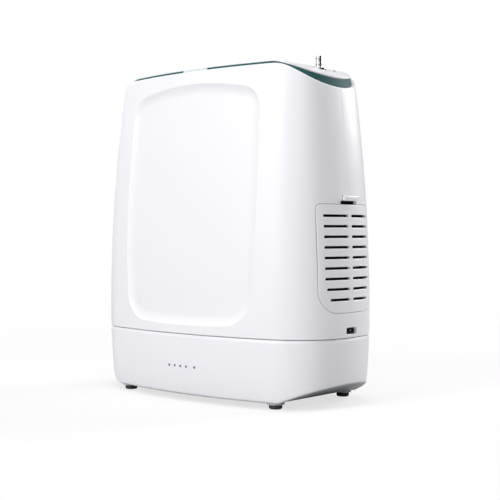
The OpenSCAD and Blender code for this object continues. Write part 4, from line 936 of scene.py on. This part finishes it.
# battery: its upper rim is chamfered at the seam, and its lower edge is rounded
battery = {"top": 48.0, "topRadius": 0.4, "rimHigh": 2.2, "rimIn": 0.8, "wall": 2.4, "bellyZ": 4.4,
           "bellyX": 80, "slope": 0.42, "lowRadius": 1.7, "count": 400, "grid": 3.2, "rimGrid": 1.0,
           "rimBelow": 1.2, "lightZ": 24.9, "lightR": 1.0, "lightRadius": 0.12, "lightCount": 20,
           "faceHalf": 40, "lights": (-13.225, -7.475, -1.725, 4.025, 12.075)}


def batteryPlace(u, z, depth):
    ramp = np.clip((z - battery["top"] + battery["rimHigh"]) / battery["rimHigh"], 0, 1)
    return onSkin(u, z, depth + battery["rimIn"] * ramp)


def belly(x):
    return battery["bellyZ"] + battery["slope"] * np.maximum(np.abs(x) - battery["bellyX"], 0)


def nearRim(points):
    return points[:, 1] > battery["top"] - battery["rimHigh"] - battery["rimBelow"]


def batteryEdges():
    # the case's outline, open at the back, and a hole for each light
    across = np.linspace(-backSeam, backSeam, battery["count"])
    low = withRadius(np.column_stack([across, heightAt(across, 0, belly)]), battery["lowRadius"])
    high = withRadius(np.column_stack([across, np.full(len(across), battery["top"])]), battery["topRadius"])
    for edge in (low, high):
        edge[0, 2] = edge[-1, 2] = 0
    faceU = np.linspace(-battery["faceHalf"], battery["faceHalf"], battery["count"])
    faceX = onSkin(faceU, np.full(len(faceU), battery["lightZ"]), 0)[:, 0]
    holes = [ring(u, battery["lightZ"], battery["lightR"], battery["lightCount"])
             for u in np.interp(battery["lights"], faceX, faceU)]
    caseWall = [(0.0, battery["wall"])]
    return [(np.concatenate([low, high[::-1]]), caseWall)] + [
        (withRadius(hole, battery["lightRadius"]), caseWall) for hole in holes]


finishPiece(skin("battery_case", batteryPlace, batteryEdges(), battery["grid"],
                 (battery["rimGrid"], nearRim, np.zeros((0, 2))), atBackSeam),
            whiteAbs, "battery", "white_plastic", "battery_shell")

# rubber feet with rounded edges and a shallow hollow underneath
feet = {"x": 72.7235, "y": 38.4896, "r": 4.6, "high": 3.25, "round": 1.1, "peg": 2.0, "pegTop": 7.0,
        "axis": 0.05, "hollowDeep": 0.35, "hollowR": 2.6, "hollowRim": 3.1, "topRound": 0.2,
        "turns": (25, 50, 70, 90), "count": 64, "sharp": 35}


def footProfile():
    r, rounding, high = feet["r"], feet["round"], feet["high"]
    hollow = [(feet["axis"], feet["hollowDeep"]), (feet["hollowR"], feet["hollowDeep"]),
              (feet["hollowRim"], 0.0)]
    edge = [(r - rounding, 0.0)]
    edge += [(r - rounding + rounding * sin(a), rounding * (1 - cos(a)))
             for a in np.radians(feet["turns"])]
    upper = [(r, high - feet["topRound"]), (r - feet["topRound"], high), (feet["peg"], high),
             (feet["peg"], feet["pegTop"]), (feet["axis"], feet["pegTop"])]
    return hollow + edge + upper


footParts = [turned((x, y, 0), footProfile(), feet["count"])
             for x in (-feet["x"], feet["x"]) for y in (-feet["y"], feet["y"])]
finishPiece(joined("rubber_foot_set", footParts, feet["sharp"]),
            footRubber, "battery", "black_rubber", "rubber_feet")
print("battery and feet made")

# every other solid of the frame keeps its shape and gets its own finish
finishes = {"white_plastic": whiteAbs, "light_plastic": paleAbs, "green_plastic": trimAbs,
            "light_bar": lampGuide, "window_plastic": tintedAcrylic, "circuit_board": circuitBoard,
            "black_plastic": blackNylon, "grey_plastic": greyAbs, "red_lens": redAcrylic,
            "plated_metal": nickelPlate, "aluminium": anodised, "steel": plainSteel,
            "clear_tube": siliconeTube, "copper_pipe": copperPipe, "black_rubber": footRubber,
            "filter_foam": filterFoam, "cell_wrap": pvcWrap}
slots = {part["node"]: part["material_slot"] for part in frame["record"]["subparts"]}
for name, node in frame["nodes"].items():
    node.data.materials.clear()
    node.data.materials.append(finishes[slots[name]])
print("frame solids finished")

# studio, in metres and watts: white surroundings and six soft lamps that point at the middle of the housing;
# the shining wall fades in as a ray turns towards it, from wallFrom to wallTo
studio = {"worldStrength": 0.05, "wallStrength": 0.9, "wallWay": (-0.64, -0.77, 0.0), "wallFrom": -0.12,
          "wallTo": 0.3, "lampsAt": (0, 0, 0.12),
          "lamps": {"front": {"place": (-0.32, -1.84, 1.29), "size": 1.2, "watts": 20.8},
                    "low": {"place": (-0.19, -2.14, 0.58), "size": 1.0, "watts": 6.4},
                    "right": {"place": (1.53, -1.28, 1.05), "size": 1.0, "watts": 6.7},
                    "left": {"place": (-1.70, 1.19, 0.87), "size": 1.0, "watts": 6.0},
                    "back": {"place": (0.62, 1.70, 0.97), "size": 1.0, "watts": 27.0},
                    "above": {"place": (0.11, -0.29, 1.89), "size": 1.2, "watts": 17.5}}}
world = bpy.data.worlds.new("studio")
bpy.context.scene.world = world
world.use_nodes = True
tree = world.node_tree
tree.nodes.clear()
path = addNode(tree, "ShaderNodeLightPath")
# the studio wall that shines in the plastic and the metal stands in front and to the left
way = addNode(tree, "ShaderNodeTexCoord").outputs["Generated"]
ahead = addNode(tree, "ShaderNodeVectorMath", {"operation": "DOT_PRODUCT"}, {1: studio["wallWay"]}, {0: way})
wall = addNode(tree, "ShaderNodeMapRange", {"interpolation_type": "SMOOTHSTEP"},
               {"From Min": studio["wallFrom"], "From Max": studio["wallTo"],
                "To Max": studio["wallStrength"]},
               {"Value": ahead.outputs["Value"]})
shiny = addNode(tree, "ShaderNodeMath", {"operation": "MULTIPLY_ADD"}, {2: studio["worldStrength"]},
                {0: wall.outputs["Result"], 1: path.outputs["Is Glossy Ray"]})
dim = addNode(tree, "ShaderNodeBackground", {}, {"Color": linear("#FFFFFF")}, {"Strength": shiny.outputs[0]})
full = addNode(tree, "ShaderNodeBackground", {}, {"Color": linear("#FFFFFF"), "Strength": 1.0})
mixed = addNode(tree, "ShaderNodeMixShader", {}, {},
                {0: path.outputs["Is Camera Ray"], 1: dim.outputs[0], 2: full.outputs[0]})
addNode(tree, "ShaderNodeOutputWorld", {}, {}, {"Surface": mixed.outputs[0]})

for name, lamp in studio["lamps"].items():
    data = bpy.data.lights.new(name, "AREA")
    data.shape = "DISK"
    data.size = lamp["size"]
    data.energy = lamp["watts"]
    item = bpy.data.objects.new(name, data)
    item.location = lamp["place"]
    aim = Vector(studio["lampsAt"]) - Vector(lamp["place"])
    item.rotation_euler = aim.to_track_quat("-Z", "Y").to_euler()
    bpy.context.scene.collection.objects.link(item)

# the floor: matt white with the object's shadow, fading into the white ground between the two distances of
# fade; it throws less light back than the camera sees on it, and least close to the middle, where planStretch
# makes the object's oblong plan nearly round: there it throws a dark colour back, painted shade under the
# object; further out it also glows a little on the object's diffuse rays, painted light from below; distances
# in metres
ground = {"halfMm": 3000, "cornerMm": 200, "belowMm": 0.05, "seen": "#F2F2F2", "thrown": "#C4C4C4",
          "paintedShadeUnder": "#606060", "planStretch": (1.0, 1.9, 1.0), "paintedShadeTo": (0.095, 0.14),
          "paintedGlowThrown": 0.33, "fade": (0.2, 0.7), "glowNear": 0.7}
floorHalf, floorCorner = ground["halfMm"], ground["cornerMm"]
floorEdge = rounded(floorHalf, -floorHalf, floorHalf, floorCorner, floorCorner)
floor = addMesh("floor", withRadius(floorEdge, -ground["belowMm"]), [tuple(range(len(floorEdge)))])
floorPaint = bpy.data.materials.new("matt white studio floor")
floorPaint.use_nodes = True
tree = floorPaint.node_tree
tree.nodes.clear()
path = addNode(tree, "ShaderNodeLightPath")
place = addNode(tree, "ShaderNodeTexCoord").outputs["Object"]
away = addNode(tree, "ShaderNodeVectorMath", {"operation": "LENGTH"}, {}, {0: place})
plan = addNode(tree, "ShaderNodeVectorMath", {"operation": "MULTIPLY"}, {1: ground["planStretch"]},
               {0: place})
under = addNode(tree, "ShaderNodeVectorMath", {"operation": "LENGTH"}, {}, {0: plan.outputs["Vector"]})
# painted shade: 0 at the middle under the object, rising to 1 further out; the floor throws the dark colour
# back where it is 0
clear = addNode(tree, "ShaderNodeMapRange", {},
                {"From Min": ground["paintedShadeTo"][0], "From Max": ground["paintedShadeTo"][1]},
                {"Value": under.outputs["Value"]})
thrown = addNode(tree, "ShaderNodeMix", {"data_type": "RGBA"},
                 {"A": linear(ground["paintedShadeUnder"]), "B": linear(ground["thrown"])},
                 {"Factor": clear.outputs["Result"]})
shade = addNode(tree, "ShaderNodeMix", {"data_type": "RGBA"}, {"B": linear(ground["seen"])},
                {"Factor": path.outputs["Is Camera Ray"], "A": thrown.outputs["Result"]})
matt = addNode(tree, "ShaderNodeBsdfDiffuse", {}, {}, {"Color": shade.outputs["Result"]})
glow = addNode(tree, "ShaderNodeEmission", {}, {"Color": linear("#FFFFFF"), "Strength": 1.0})
whiter = addNode(tree, "ShaderNodeMapRange", {},
                 {"From Min": ground["fade"][0], "From Max": ground["fade"][1], "To Min": ground["glowNear"]},
                 {"Value": away.outputs["Value"]})
toCamera = addNode(tree, "ShaderNodeMath", {"operation": "MULTIPLY"}, {},
                   {0: path.outputs["Is Camera Ray"], 1: whiter.outputs["Result"]})
# painted light: away from the middle the floor glows on the object's diffuse rays, lighting it from below
# though it is no lamp
lit = addNode(tree, "ShaderNodeMath", {"operation": "MULTIPLY"}, {1: ground["paintedGlowThrown"]},
              {0: clear.outputs["Result"]})
toOthers = addNode(tree, "ShaderNodeMath", {"operation": "MULTIPLY"}, {},
                   {0: path.outputs["Is Diffuse Ray"], 1: lit.outputs[0]})
share = addNode(tree, "ShaderNodeMath", {"operation": "ADD"}, {},
                {0: toCamera.outputs[0], 1: toOthers.outputs[0]})
both = addNode(tree, "ShaderNodeMixShader", {}, {},
               {0: share.outputs[0], 1: matt.outputs[0], 2: glow.outputs[0]})
addNode(tree, "ShaderNodeOutputMaterial", {}, {}, {"Surface": both.outputs[0]})
floor.data.materials.append(floorPaint)
print("studio set")
